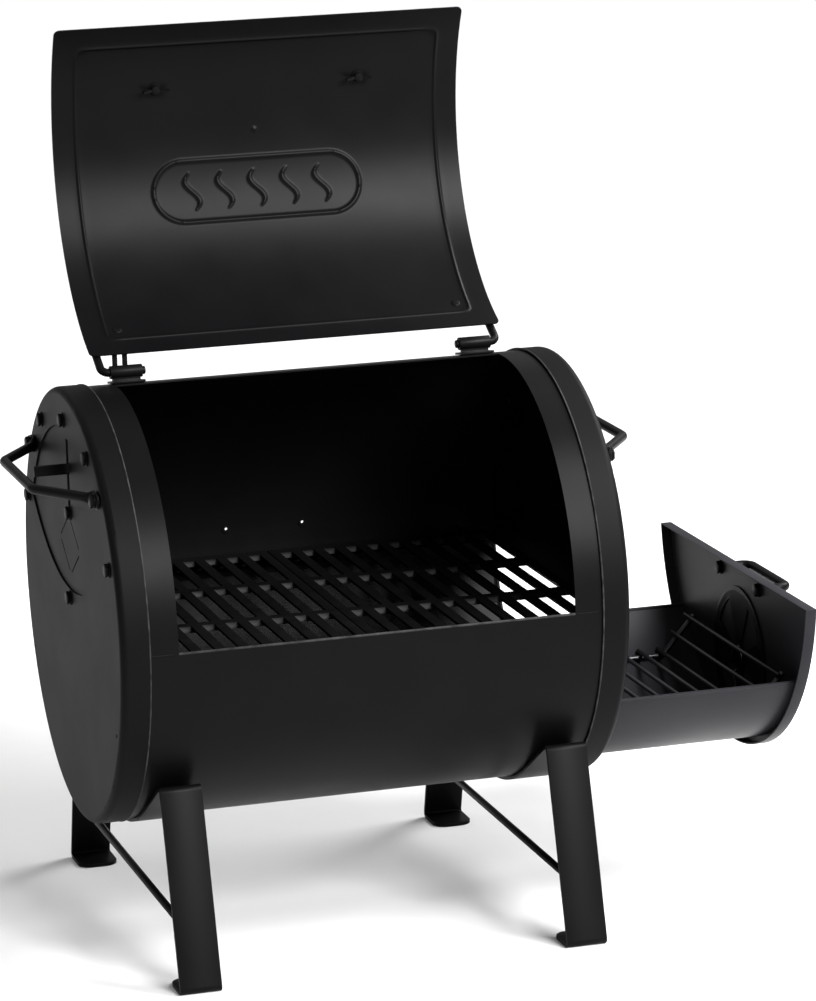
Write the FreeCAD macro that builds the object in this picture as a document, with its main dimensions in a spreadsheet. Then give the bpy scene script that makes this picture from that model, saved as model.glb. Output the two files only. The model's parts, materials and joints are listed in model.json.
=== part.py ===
import FreeCAD, Part
import math
import os
import re
from types import SimpleNamespace
from FreeCAD import Placement, Rotation, Vector

# Table-top barrel smoker with a lid that swings back and a charcoal drawer that pulls out of
# its right end. Millimetres, X along the barrel to the right, Y to the back, Z up. The origin
# is on the ground, in the middle of the whole smoker as it stands: lid open, drawer pulled out.
#
# Each piece is drawn in the barrel's frame, as it is with the lid shut and the drawer in:
# X = 0 at the outside of the left end cap, Y = 0 and Z = 0 on the barrel's axis. A front angle
# is measured round the axis from the front horizontal, up over the top and to the back.

SIZES = {
    # barrel and end caps
    "barrel_radius": 182.0,
    "barrel_length": 432.0,
    "barrel_sheet": 1.2,
    "ground_clearance": 101.0,
    "cap_sheet": 1.5,
    "cap_gap": 0.3,
    "band_depth": 24.0,
    "cap_corner": 6.0,
    "window_margin": 48.0,
    "window_front_angle": -1.0,
    "window_rear_angle": 94.0,
    "seam_gap": 0.1,
    "back_hole_pitch": 70.0,
    "back_hole_height": 10.5,
    "back_hole_radius": 2.5,
    "rivet_hole_radius": 1.75,
    "rivet_hole_inset": 10.3,
    "rivet_hole_angle": 25.0,
    # bolts
    "bolt_radius": 3.0,
    "bolt_hole_gap": 0.25,
    "head_across": 10.0,
    "head_height": 4.0,
    "wing_hub_radius": 4.8,
    "wing_hub_height": 5.0,
    "wing_reach": 12.0,
    "wing_sheet": 2.0,
    "wing_height": 8.0,
    "wing_root": 1.0,
    "wing_low": 1.7,
    "nut_height": 3.2,
    "nut_gap": 0.05,
    "bolt_tail": 0.6,
    # blanking plate in the left end cap
    "blank_top_radius": 158.0,
    "blank_top_centre": -6.5,
    "blank_low_radius": 204.0,
    "blank_low_centre": 218.0,
    "blank_margin": 21.0,
    "blank_bolt_near": 7.0,
    "blank_bolt_far": 14.5,
    "blank_bolt_angle": 60.0,
    "blank_ear_out": 13.5,
    "blank_ear_drop": 4.2,
    "blank_sheet": 1.5,
    "slot_width": 9.0,
    "slot_low": 84.0,
    "slot_high": 143.0,
    "tab_reach": 27.0,
    "tab_height": 9.0,
    "tab_centre": 118.0,
    "tab_sheet": 2.5,
    "tab_foot": 12.0,
    "diamond_half_width": 37.5,
    "diamond_half_height": 25.5,
    "diamond_centre": 52.5,
    "score_width": 1.5,
    "score_tie": 0.1,
    # bent-rod handles
    "handle_rod": 8.3,
    "handle_reach": 39.5,
    "handle_edge": 8.4,
    "handle_angle": 43.0,
    "handle_grip_half": 58.0,
    "handle_bend": 14.0,
    "foot_height": 12.5,
    "foot_sheet": 3.2,
    "foot_half_length": 8.5,
    "foot_corner": 4.2,
    "foot_setback": 1.5,
    # lid and hinges
    "lid_sheet": 1.2,
    "lid_gap": 0.5,
    "lid_side": 35.2,
    "lid_front_angle": -3.5,
    "lid_rear_angle": 95.4,
    "lid_open_angle": 152.3,
    "lid_handle_angle": 15.8,
    "lid_handle_half": 90.5,
    "lid_handle_grip_half": 62.0,
    "hinge_angle": 99.95,
    "hinge_rise": 9.5,
    "hinge_tube_start": 49.0,
    "hinge_tube_length": 27.5,
    "hinge_tube_radius": 5.5,
    "hinge_rod": 7.0,
    "hinge_clearance": 0.05,
    "hinge_bend": 6.5,
    "hinge_plate": 2.0,
    "hinge_plate_length": 25.0,
    "hinge_web": 6.0,
    "web_inset": 2.0,
    "arm_place": 42.3,
    "arm_eye_place": 66.0,
    "arm_eye_angle": 85.3,
    "arm_eye_radius": 7.0,
    "arm_eye_margin": 1.0,
    "arm_tail": 3.0,
    "stop_prong_width": 4.2,
    "stop_prong_pitch": 8.6,
    "stop_sheet": 2.5,
    "stop_place": 61.8,
    "stop_inset": 4.4,
    "stop_foot": 4.0,
    "stop_foot_length": 12.0,
    "stop_slot_floor": 5.0,
    # legs
    "leg_offset": 33.0,
    "leg_width": 35.0,
    "leg_sheet": 3.0,
    "leg_crest_standoff": 15.6,
    "leg_crest_angle": 37.4,
    "leg_spread": 46.5,
    "leg_lip": 38.0,
    "leg_lip_corner": 11.0,
    "leg_bend": 3.5,
    "leg_bolt_half": 9.0,
    "brace_rod": 6.5,
    "brace_height": 60.0,
    "brace_inset": 4.5,
    # cooking grates
    "grate_top_drop": 11.4,
    "grate_thickness": 8.0,
    "grate_wall_gap": 4.3,
    "grate_end_gap": 8.0,
    "grate_seam": 0.8,
    "grate_edge": 8.0,
    "grate_pitch": 19.9,
    "grate_slot": 10.1,
    "grate_end_rib": 12.0,
    "grate_rib": 10.0,
    "grate_rib_back": 58.0,
    "ledge_sheet": 1.5,
    "ledge_width": 14.0,
    "ledge_height": 12.0,
    "ledge_end_gap": 14.0,
    # charcoal drawer
    "drawer_out": 167.0,
    "drawer_sheet": 1.5,
    "drawer_wall_gap": 2.5,
    "drawer_top_drop": 20.2,
    "drawer_flange": 10.0,
    "mouth_top_drop": 17.5,
    "runner_height": 9.3,
    "trough_sheet": 1.2,
    "trough_rim_drop": 90.0,
    "trough_end_gap": 16.4,
    "runner_gap": 0.1,
    "runner_length": 14.0,
    "runner_width": 22.0,
    "rest_angle": 28.0,
    "skid_angle": 42.0,
    "rest_inset": 16.0,
    "drawer_bolt_half": 46.0,
    "drawer_bolt_drop": 34.0,
    "drawer_handle_reach": 26.0,
    "drawer_handle_bend": 9.0,
    "drawer_bolt_depth": 9.0,
    "damper_margin": 12.3,
    "damper_radius": 62.0,
    "damper_sheet": 1.2,
    "damper_gap": 0.1,
    "vent_inner": 14.0,
    "vent_outer": 52.0,
    "vent_angle": 40.0,
    "vent_count": 4.0,
    "pivot_radius": 3.0,
    "spring_radius": 9.0,
    "spring_wire": 1.6,
    # charcoal grate
    "wire": 4.0,
    "wire_pitch": 18.5,
    "wire_rise": 48.0,
    "rail": 5.0,
    "rail_inset": 7.5,
    "wire_end_gap": 7.0,
    "wire_seat_gap": 0.3,
    "slope_angle": 48.0,
    "slope_pitch": 20.0,
    "slope_count": 3.0,
    "slope_tail": 4.5,
    "slope_panel_gap": 0.5,
}

doc = FreeCAD.newDocument("smoker")
sheet = doc.addObject("Spreadsheet::Sheet", "Sizes")
for row, (alias, value) in enumerate(SIZES.items(), start=1):
    sheet.set(f"A{row}", alias.replace("_", " "))
    sheet.set(f"B{row}", str(value))
    sheet.setAlias(f"B{row}", alias)
doc.recompute()
S = SimpleNamespace(**{alias: float(sheet.get(alias)) for alias in SIZES})

X_AXIS = Vector(1, 0, 0)
Y_AXIS = Vector(0, 1, 0)
Z_AXIS = Vector(0, 0, 1)
# turns a cylinder that stands on Z to lie along X, its seam at the back horizontal
LENGTHWISE = Rotation(Y_AXIS, Z_AXIS, X_AXIS, "ZXY")
# how near two lengths must be to count as the same
SAME = 1e-3


def round_axis(radius, front_angle, x=0.0):
    """The point at a radius and a front angle."""
    angle = math.radians(front_angle)
    return Vector(x, -radius * math.cos(angle), radius * math.sin(angle))


# places that several pieces share
barrel_inner = S.barrel_radius - S.barrel_sheet
cap_inner = S.barrel_radius + S.cap_gap
cap_outer = cap_inner + S.cap_sheet
lid_inner = S.barrel_radius + S.lid_gap
lid_outer = lid_inner + S.lid_sheet
hinge_radius = S.barrel_radius + S.hinge_rise
bolt_hole = S.bolt_radius + S.bolt_hole_gap
trough_radius = barrel_inner - S.runner_height
trough_inner = trough_radius - S.trough_sheet
axis_height = S.barrel_radius + S.ground_clearance
panel_inside = S.barrel_length - S.drawer_sheet
hinge = round_axis(hinge_radius, S.hinge_angle)
handle_seat_radius = cap_outer - S.cap_corner - S.handle_edge
handle_seat = round_axis(handle_seat_radius, S.handle_angle)
handle_bolt_half = -handle_seat.y
smoker_left = -S.handle_reach - S.handle_rod / 2
smoker_right = S.barrel_length + S.drawer_out + S.drawer_handle_reach + S.handle_rod / 2
barrel_place = Placement(Vector(-(smoker_left + smoker_right) / 2, 0, axis_height), Rotation())
lid_place = barrel_place.multiply(Placement(Vector(), Rotation(X_AXIS, -S.lid_open_angle), hinge))
drawer_place = barrel_place.multiply(Placement(Vector(S.drawer_out, 0, 0), Rotation()))


def bind(thing, **formulas):
    """Ties a property to the sheet. Two underscores in its name stand for a dot."""
    for name, formula in formulas.items():
        tied = re.sub(r"[a-z_]+", lambda word: ("Sizes." if word[0] in SIZES else "") + word[0], formula)
        thing.setExpression(name.replace("__", "."), tied)


def drum(name, radius, left, length, front_angle=None, rear_angle=None):
    """A cylinder on the barrel's axis, or the sector of it between two front angles."""
    solid = doc.addObject("Part::Cylinder", name)
    bind(solid, Radius=radius, Height=length)
    turn = Rotation()
    if front_angle:
        bind(solid, Angle=f"{rear_angle} - {front_angle}")
        turn = Rotation(X_AXIS, 180 - getattr(S, rear_angle))
    solid.Placement = Placement(Vector(), turn.multiply(LENGTHWISE))
    bind(solid, Placement__Base__x=left)
    return solid


def pin(name, radius, left, length, back, up):
    """A cylinder along X away from the barrel's axis."""
    solid = doc.addObject("Part::Cylinder", name)
    bind(solid, Radius=radius, Height=length)
    solid.Placement = Placement(Vector(), LENGTHWISE)
    bind(solid, Placement__Base__x=left, Placement__Base__y=back, Placement__Base__z=up)
    return solid


def block(name, length, depth, height, left, front, low):
    solid = doc.addObject("Part::Box", name)
    bind(solid, Length=length, Width=depth, Height=height)
    bind(solid, Placement__Base__x=left, Placement__Base__y=front, Placement__Base__z=low)
    return solid


def joined(name, *pieces):
    solid = doc.addObject("Part::MultiFuse", name)
    solid.Shapes = list(pieces)
    return solid


def shared(name, *pieces):
    solid = doc.addObject("Part::MultiCommon", name)
    solid.Shapes = list(pieces)
    return solid


def cut(name, base, *tools):
    solid = doc.addObject("Part::Cut", name)
    solid.Base = base
    solid.Tool = tools[0] if len(tools) == 1 else joined(f"{name}_tools", *tools)
    return solid


def plain(name, shape):
    """A shape made by Part's own functions, in the barrel's frame."""
    feature = doc.addObject("Part::Feature", name)
    feature.Shape = shape
    return feature


pieces = []


def keep(thing, label, place=barrel_place):
    """Takes a finished piece into the smoker, at its place."""
    thing.Label = label
    thing.Placement = place.multiply(thing.Placement)
    pieces.append(thing)


def turned_corner(before, corner, after, bend):
    """The start, middle and end of the arc that rounds a corner."""
    back = (before - corner).normalize()
    ahead = (after - corner).normalize()
    half = back.getAngle(ahead) / 2
    inward = (back + ahead).normalize()
    run = bend / math.tan(half)
    middle = corner + inward * (bend / math.sin(half) - bend)
    return corner + back * run, middle, corner + ahead * run


def rod(corners, bend, diameter, closed_ends=True):
    """A round rod bent through the corners, each turned with the same radius."""
    edges = []
    last = corners[0]
    for before, corner, after in zip(corners, corners[1:], corners[2:]):
        start, middle, end = turned_corner(before, corner, after, bend)
        edges += [Part.LineSegment(last, start), Part.Arc(start, middle, end)]
        last = end
    edges.append(Part.LineSegment(last, corners[-1]))
    spine = Part.Wire([edge.toShape() for edge in edges])
    section = Part.Wire([Part.Circle(corners[0], corners[1] - corners[0], diameter / 2).toShape()])
    return spine.makePipeShell([section], closed_ends, False)


def hexagon(centre, axis, across, height):
    """A six-sided prism that stands on centre along axis."""
    corner = across / math.sqrt(3)
    turns = [math.radians(60 * step) for step in range(7)]
    ring = Part.makePolygon([Vector(corner * math.cos(t), corner * math.sin(t), 0) for t in turns])
    prism = Part.Face(ring).extrude(Vector(0, 0, height))
    prism.Placement = Placement(centre, Rotation(Z_AXIS, axis))
    return prism.copy()


def bolt(seat, out, grip, nut=True, radius=S.bolt_radius):
    """A hexagon bolt whose head sits on seat, with a nut at the far side of its grip."""
    shank_length = grip + S.nut_height + S.bolt_tail
    head = hexagon(seat, out, S.head_across, S.head_height)
    shank = Part.makeCylinder(radius, shank_length, seat - out * shank_length, out)
    solids = [head.fuse(shank).removeSplitter().Solids[0]]
    if nut:
        under = seat - out * (grip + S.nut_height)
        blank = hexagon(under, out, S.head_across, S.nut_height)
        bore = Part.makeCylinder(radius + S.nut_gap, S.nut_height, under, out)
        solids.append(blank.cut(bore).Solids[0])
    return solids


def sketch_on(body, role, name, outline):
    """A sketch of the outline on one of the body's origin planes."""
    sketch = body.newObject("Sketcher::SketchObject", name)
    plane = next(part for part in body.Origin.OriginFeatures if part.Role == role)
    sketch.AttachmentSupport = (plane, [""])
    sketch.MapMode = "FlatFace"
    sketch.addGeometry(outline, False)
    return sketch


def padded(name, role, outline, thickness):
    """A body of one sketch, padded to a thickness from the sheet."""
    body = doc.addObject("PartDesign::Body", f"{name}_body")
    pad = body.newObject("PartDesign::Pad", f"{name}_pad")
    pad.Profile = sketch_on(body, role, f"{name}_outline", outline)
    bind(pad, Length=thickness)
    doc.recompute()
    return body, pad


def closed_outline(corners):
    return [Part.LineSegment(a, b) for a, b in zip(corners, corners[1:] + corners[:1])]


def oblong(left, low, right, high):
    return closed_outline([Vector(left, low), Vector(right, low), Vector(right, high), Vector(left, high)])


def strap_outline(corners, bends, thickness):
    """Both sides of a bent strap whose middle line runs through the corners."""
    sides = []
    for side in (1, -1):
        edges = []
        last = None
        for index, corner in enumerate(corners):
            if index in (0, len(corners) - 1):
                along = corners[1] - corner if index == 0 else corner - corners[-2]
                points = [corner + beside(along, side * thickness / 2)]
            else:
                before, after = corners[index - 1], corners[index + 1]
                into = (corner - before).normalize()
                out = (after - corner).normalize()
                directions = [into, into + out, out]
                arc = turned_corner(before, corner, after, bends[index - 1])
                points = [p + beside(d, side * thickness / 2) for p, d in zip(arc, directions)]
            if last:
                edges.append(Part.LineSegment(last, points[0]))
            if len(points) == 3:
                edges.append(Part.Arc(*points))
            last = points[-1]
        sides.append(edges)
    starts = [edges[0].StartPoint for edges in sides]
    ends = [edges[-1].EndPoint for edges in sides]
    return sides[0] + sides[1] + [Part.LineSegment(*starts), Part.LineSegment(*ends)]


def beside(direction, offset):
    """A step to the left of a direction in the sketch plane."""
    unit = Vector(direction).normalize()
    return Vector(-unit.y, unit.x, 0) * offset


# ---- barrel: one rolled sheet, open over the window ------------------------------------
shell_left = "cap_corner"
shell_length = "barrel_length - 2 * cap_corner"
shell_tube = cut(
    "shell_tube",
    drum("shell_outside", "barrel_radius", shell_left, shell_length),
    drum("shell_inside", "barrel_radius - barrel_sheet", "0", "barrel_length"),
)
window = drum("window", "barrel_radius + cap_gap", "0", "barrel_length",
              "window_front_angle", "window_rear_angle")
back_holes = []
for side in (-1, 1):
    hole = doc.addObject("Part::Cylinder", "back_hole")
    bind(hole, Radius="back_hole_radius", Height="barrel_radius")
    hole.Placement = Placement(Vector(), Rotation(Z_AXIS, Y_AXIS))
    bind(hole, Placement__Base__x=f"barrel_length / 2 + {side} * back_hole_pitch / 2")
    bind(hole, Placement__Base__z="back_hole_height")
    back_holes.append(hole)
leg_places = [S.leg_offset, S.barrel_length - S.leg_offset - S.leg_width]
leg_bolt_steps = [S.leg_width / 2 + side * S.leg_bolt_half for side in (-1, 1)]
leg_holes = plain("leg_bolt_holes", Part.makeCompound([
    Part.makeCylinder(bolt_hole, cap_outer, Vector(left + step, 0, 0), -Z_AXIS)
    for left in leg_places for step in leg_bolt_steps
]))
keep(cut("shell", shell_tube, window, *back_holes, leg_holes), "barrel_shell")

# ---- arch strips: the barrel's sheet beside the window, welded in between shell and cap ----
strip_length = "window_margin - cap_corner"
for label, left in (
    ("left_arch_strip", shell_left),
    ("right_arch_strip", "barrel_length - window_margin"),
):
    outside = drum(f"{label}_outside", "barrel_radius", left, strip_length,
                   "window_front_angle", "window_rear_angle")
    inside = drum(f"{label}_inside", "barrel_radius - barrel_sheet", "0", "barrel_length")
    keep(cut(label, outside, inside), label)

# ---- end caps: a dished disc whose band slips over the barrel -----------------------------
def rounded_end(drum_solid, face_x, bend):
    """Rounds the edge of a cylinder at one of its flat ends."""
    rounded = doc.addObject("Part::Fillet", f"{drum_solid.Name}_rounded")
    rounded.Base = drum_solid
    doc.recompute()
    rounded.Edges = [(index, bend, bend) for index, edge in enumerate(drum_solid.Shape.Edges, start=1)
                     if edge.Closed and abs(edge.CenterOfMass.x - face_x) < SAME]
    return rounded


def cap(name, left, face_x, hollow_left, floor_x):
    """A disc with a band: face_x is its flat face and floor_x the bottom of its hollow."""
    disc = drum(f"{name}_disc", "barrel_radius + cap_gap + cap_sheet", left, "band_depth")
    hollow = drum(f"{name}_hollow", "barrel_radius + cap_gap", hollow_left, "band_depth")
    return cut(f"{name}_dish", rounded_end(disc, face_x, S.cap_corner),
               rounded_end(hollow, floor_x, S.cap_corner - S.cap_sheet))


handle_holes = plain("handle_holes", Part.makeCompound([
    Part.makeCylinder(bolt_hole, S.barrel_length + 4 * S.cap_sheet,
                      Vector(-2 * S.cap_sheet, side * handle_bolt_half, handle_seat.z), X_AXIS)
    for side in (-1, 1)
]))
blank_opening = shared(
    "blank_opening",
    pin("blank_top", "blank_top_radius", "-cap_sheet", "3 * cap_sheet", "0", "blank_top_centre"),
    pin("blank_low", "blank_low_radius", "-cap_sheet", "3 * cap_sheet", "0", "blank_low_centre"),
)
knock_out_top = S.blank_top_centre + S.blank_top_radius
knock_out_low = S.blank_low_centre - S.blank_low_radius
centres_apart = S.blank_low_centre - S.blank_top_centre
corner_up = (S.blank_top_radius ** 2 - S.blank_low_radius ** 2 + centres_apart ** 2) / (2 * centres_apart)
corner_back = math.sqrt(S.blank_top_radius ** 2 - corner_up ** 2)
bolt_turn = math.radians(S.blank_bolt_angle)
bolt_ring = S.blank_top_radius + S.blank_bolt_far
blank_bolts = [(0.0, knock_out_top + S.blank_bolt_near), (0.0, knock_out_low - S.blank_bolt_near)]
for side in (-1, 1):
    blank_bolts.append((side * bolt_ring * math.cos(bolt_turn),
                        S.blank_top_centre + bolt_ring * math.sin(bolt_turn)))
    blank_bolts.append((side * (corner_back + S.blank_ear_out),
                        S.blank_top_centre + corner_up - S.blank_ear_drop))
blank_bolt_holes = plain("blank_bolt_holes", Part.makeCompound([
    Part.makeCylinder(bolt_hole, 4 * S.head_height, Vector(-S.head_height, back, up), X_AXIS)
    for back, up in blank_bolts
]))
rivet_holes = plain("rivet_holes", Part.makeCompound([
    Part.makeCylinder(S.rivet_hole_radius, 3 * S.cap_sheet,
                      round_axis(cap_inner - S.rivet_hole_inset, angle, -S.cap_sheet), X_AXIS)
    for angle in (-S.rivet_hole_angle, 180 + S.rivet_hole_angle)
]))
left_dish = cap("left_cap", "0", 0.0, "cap_sheet", S.cap_sheet)
keep(cut("left_cap", left_dish, blank_opening, blank_bolt_holes, rivet_holes, handle_holes),
     "left_end_cap")

right_dish = cap("right_cap", "barrel_length - band_depth", S.barrel_length,
                 "barrel_length - cap_sheet - band_depth", S.barrel_length - S.cap_sheet)
mouth = shared(
    "mouth",
    drum("mouth_round", "barrel_radius - barrel_sheet", "barrel_length - 2 * cap_sheet", "3 * cap_sheet"),
    block("mouth_half", "4 * cap_sheet", "3 * barrel_radius", "2 * barrel_radius",
          "barrel_length - 2 * cap_sheet", "-1.5 * barrel_radius", "-2 * barrel_radius - mouth_top_drop"),
)
keep(cut("right_cap", right_dish, mouth, handle_holes), "right_end_cap")

# ---- blanking plate behind the lens-shaped knock-out, with its slot, tab and scored diamond ----
plate_left = "cap_sheet + seam_gap"
plate = shared(
    "blank_plate_round",
    pin("plate_top", "blank_top_radius + blank_margin", plate_left, "blank_sheet", "0", "blank_top_centre"),
    pin("plate_low", "blank_low_radius + blank_margin", plate_left, "blank_sheet", "0", "blank_low_centre"),
)
tab_slot = block("tab_slot", "4 * blank_sheet", "slot_width", "slot_high - slot_low",
                 "0", "-slot_width", "slot_low")
diamond_corners = [
    Vector(0, 0, S.diamond_half_height), Vector(0, S.diamond_half_width, 0),
    Vector(0, 0, -S.diamond_half_height), Vector(0, -S.diamond_half_width, 0),
]
scores = []
for first, second in zip(diamond_corners, diamond_corners[1:] + diamond_corners[:1]):
    side = second - first
    tie = side.Length * S.score_tie
    score = Part.makeBox(4 * S.blank_sheet, S.score_width, side.Length - 2 * tie,
                         Vector(0, -S.score_width / 2, tie))
    score.Placement = Placement(first + Vector(0, 0, S.diamond_centre), Rotation(Z_AXIS, side))
    scores.append(score)
scored = plain("diamond_scores", Part.makeCompound(scores))
keep(cut("blank_plate", plate, tab_slot, scored, blank_bolt_holes, handle_holes), "blanking_plate")

bolt_solids = []
for back, up in blank_bolts:
    bolt_solids += bolt(Vector(0, back, up), -X_AXIS, S.cap_sheet + S.seam_gap + S.blank_sheet)
keep(plain("blank_bolts", Part.makeCompound(bolt_solids)), "blanking_bolts")

plate_back = S.cap_sheet + S.seam_gap + S.blank_sheet
tab_middle = -S.slot_width / 2
tab = Part.makeBox(S.tab_reach + plate_back + S.tab_sheet, S.tab_sheet, S.tab_height,
                   Vector(-S.tab_reach, tab_middle - S.tab_sheet / 2, S.tab_centre - S.tab_height / 2))
tab_foot = Part.makeBox(S.tab_sheet, S.tab_foot, S.tab_height,
                        Vector(plate_back + S.seam_gap, tab_middle - S.tab_sheet / 2,
                               S.tab_centre - S.tab_height / 2))
keep(plain("tab", tab.fuse(tab_foot).removeSplitter()), "blanking_tab")

# ---- end handles: a bent rod with flattened feet, one bolted to each cap --------------------
def bent_handle(bolt_half, grip_half, reach, diameter, foot_height, place):
    """A rod along X whose grip stands off a surface at Z = 0, with a bolted foot at each end."""
    low = S.seam_gap
    foot_middle = low + S.foot_sheet / 2
    foot_end = bolt_half - S.foot_half_length - S.foot_setback
    path = [Vector(-foot_end, 0, foot_middle), Vector(-grip_half, 0, reach),
            Vector(grip_half, 0, reach), Vector(foot_end, 0, foot_middle)]
    solid = rod(path, S.handle_bend, diameter)
    for side in (-1, 1):
        foot = Part.makeBox(2 * S.foot_half_length, foot_height, S.foot_sheet,
                            Vector(side * bolt_half - S.foot_half_length, -foot_height / 2, low))
        corners = [edge for edge in foot.Edges if edge.BoundBox.ZLength > S.foot_sheet / 2
                   and side * edge.CenterOfMass.x > bolt_half]
        foot = foot.makeFillet(S.foot_corner, corners)
        hole = Part.makeCylinder(bolt_hole, S.foot_sheet + low, Vector(side * bolt_half, 0, 0), Z_AXIS)
        solid = solid.fuse(foot).cut(hole)
    surface = Part.makeBox(4 * bolt_half, 2 * foot_height, 2 * foot_height,
                           Vector(-2 * bolt_half, -foot_height, low - 2 * foot_height))
    solid = solid.cut(surface).removeSplitter().Solids[0]
    solid.Placement = place
    return solid


handle_bolts = []
for label, face, out, behind in (
    ("left_end_handle", 0.0, -X_AXIS, S.cap_sheet + S.seam_gap + S.blank_sheet),
    ("right_end_handle", S.barrel_length, X_AXIS, S.cap_sheet),
):
    place = Placement(Vector(face, 0, handle_seat.z), Rotation(Y_AXIS, Vector(), out, "XZY"))
    keep(plain(label, bent_handle(handle_bolt_half, S.handle_grip_half, S.handle_reach, S.handle_rod,
                                  S.foot_height, place)), label)
    for side in (-1, 1):
        seat = place.multVec(Vector(side * handle_bolt_half, 0, S.foot_sheet + S.seam_gap))
        handle_bolts += bolt(seat, out, S.foot_sheet + S.seam_gap + behind)
keep(plain("handle_bolts", Part.makeCompound(handle_bolts)), "end_handle_bolts")

# ---- hinge brackets: a tube on a web and a flat plate, on the barrel behind the window ------
hinge_out = Vector(hinge).normalize()
hinge_turn = Rotation(X_AXIS, Vector(), hinge_out, "XZY")


def hinge_bracket(left):
    """Tube, web and plate, drawn with Z away from the barrel."""
    length = S.hinge_tube_length
    plate = Part.makeBox(length, S.hinge_plate_length, S.hinge_plate,
                         Vector(left, -S.hinge_plate_length / 2, S.barrel_radius + S.seam_gap))
    web = Part.makeBox(length - 2 * S.web_inset, S.hinge_web, S.hinge_rise - S.seam_gap,
                       Vector(left + S.web_inset, -S.hinge_web / 2, S.barrel_radius + S.seam_gap))
    tube = Part.makeCylinder(S.hinge_tube_radius, length, Vector(left, 0, hinge_radius), X_AXIS)
    bore = Part.makeCylinder(S.hinge_rod / 2 + S.hinge_clearance, length,
                             Vector(left, 0, hinge_radius), X_AXIS)
    solid = plate.fuse([web, tube]).cut(bore).removeSplitter()
    solid.Placement = Placement(Vector(), hinge_turn)
    return solid


mirrored_tube = S.barrel_length - S.hinge_tube_start - S.hinge_tube_length
keep(plain("left_bracket", hinge_bracket(S.hinge_tube_start)), "left_hinge_bracket")
keep(plain("right_bracket", hinge_bracket(mirrored_tube)), "right_hinge_bracket")

# ---- lid: a sheet rolled a little larger than the barrel, over the window ------------------------
lid_outside = drum("lid_outside", "barrel_radius + lid_gap + lid_sheet", "lid_side",
                   "barrel_length - 2 * lid_side", "lid_front_angle", "lid_rear_angle")
lid_inside = drum("lid_inside", "barrel_radius + lid_gap", "0", "barrel_length")
lid_bolt_places = [S.barrel_length / 2 + side * S.lid_handle_half for side in (-1, 1)]
eye_places = [S.arm_eye_place, S.barrel_length - S.arm_eye_place]
lid_holes = plain("lid_holes", Part.makeCompound(
    [Part.makeCylinder(bolt_hole, 2 * lid_outer, Vector(x, 0, 0),
                       round_axis(1, S.lid_handle_angle)) for x in lid_bolt_places]
    + [Part.makeCylinder(bolt_hole, 2 * lid_outer, Vector(x, 0, 0),
                         round_axis(1, S.arm_eye_angle)) for x in eye_places]))
keep(cut("lid", lid_outside, lid_inside, lid_holes), "lid_panel", lid_place)


def hinge_arm(mirror):
    """A rod through the tube, out along the lid and in again to an eye with a bolt."""
    def at(x, point):
        return Vector(S.barrel_length - x if mirror else x, point.y, point.z)
    eye = round_axis(lid_outer + S.hinge_rod / 2 + S.lid_gap, S.arm_eye_angle)
    solid = rod([at(S.hinge_tube_start + S.hinge_tube_length + S.arm_tail, hinge), at(S.arm_place, hinge),
                 at(S.arm_place, eye), at(S.arm_eye_place, eye)], S.hinge_bend, S.hinge_rod)
    out = round_axis(1, S.arm_eye_angle)
    seat = at(S.arm_eye_place, round_axis(lid_outer + S.seam_gap, S.arm_eye_angle))
    eye_height = S.hinge_rod / 2 + S.lid_gap
    pad = Part.makeCylinder(S.arm_eye_radius, eye_height, seat, out)
    above = Part.makeCylinder(S.arm_eye_radius + S.arm_eye_margin, S.hinge_rod,
                              seat + out * eye_height, out)
    hole = Part.makeCylinder(bolt_hole, 2 * S.hinge_rod, seat, out)
    return solid.fuse(pad).cut(above).cut(hole).removeSplitter().Solids[0], seat + out * eye_height, out


arm_bolts = []
for label, mirror in (("left_hinge_arm", False), ("right_hinge_arm", True)):
    solid, seat, out = hinge_arm(mirror)
    keep(plain(label, solid), label, lid_place)
    arm_bolts += bolt(seat, out, S.hinge_rod / 2 + S.lid_gap + 2 * S.seam_gap + S.lid_sheet)
keep(plain("arm_bolts", Part.makeCompound(arm_bolts)), "hinge_arm_bolts", lid_place)

# ---- lid handle: a bent rod held by two bolts with wing nuts inside the lid ----------------------
handle_out = round_axis(1, S.lid_handle_angle)
lid_handle_place = Placement(Vector(S.barrel_length / 2, 0, 0) + handle_out * lid_outer,
                             Rotation(X_AXIS, Vector(), handle_out, "XZY"))
lid_handle = bent_handle(S.lid_handle_half, S.lid_handle_grip_half, S.handle_reach, S.handle_rod,
                         S.foot_height, lid_handle_place)
keep(plain("lid_handle", lid_handle), "lid_handle", lid_place)


def wing_nut(top, out):
    """A hub with two wings, screwed on from top against out."""
    hub = Part.makeCylinder(S.wing_hub_radius, S.wing_hub_height)
    root = S.wing_hub_radius - S.wing_root
    wings = [Part.makeBox(S.wing_reach - root, S.wing_sheet, S.wing_height,
                          Vector(start, -S.wing_sheet / 2, S.wing_low))
             for start in (root, -S.wing_reach)]
    bore = Part.makeCylinder(S.bolt_radius + S.nut_gap, 2 * S.wing_height)
    nut = hub.fuse(wings).cut(bore).removeSplitter().Solids[0]
    nut.Placement = Placement(top, Rotation(X_AXIS, Vector(), -out, "XZY"))
    return nut


lid_bolts = []
wing_nuts = []
for x in lid_bolt_places:
    seat = Vector(x, 0, 0) + handle_out * (lid_outer + S.seam_gap + S.foot_sheet)
    grip = S.foot_sheet + 2 * S.seam_gap + S.lid_sheet
    lid_bolts += bolt(seat, handle_out, grip + S.wing_hub_height - S.nut_height, nut=False)
    wing_nuts.append(wing_nut(seat - handle_out * grip, handle_out))
keep(plain("lid_bolts", Part.makeCompound(lid_bolts)), "lid_handle_bolts", lid_place)
keep(plain("wing_nuts", Part.makeCompound(wing_nuts)), "lid_wing_nuts", lid_place)

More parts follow.
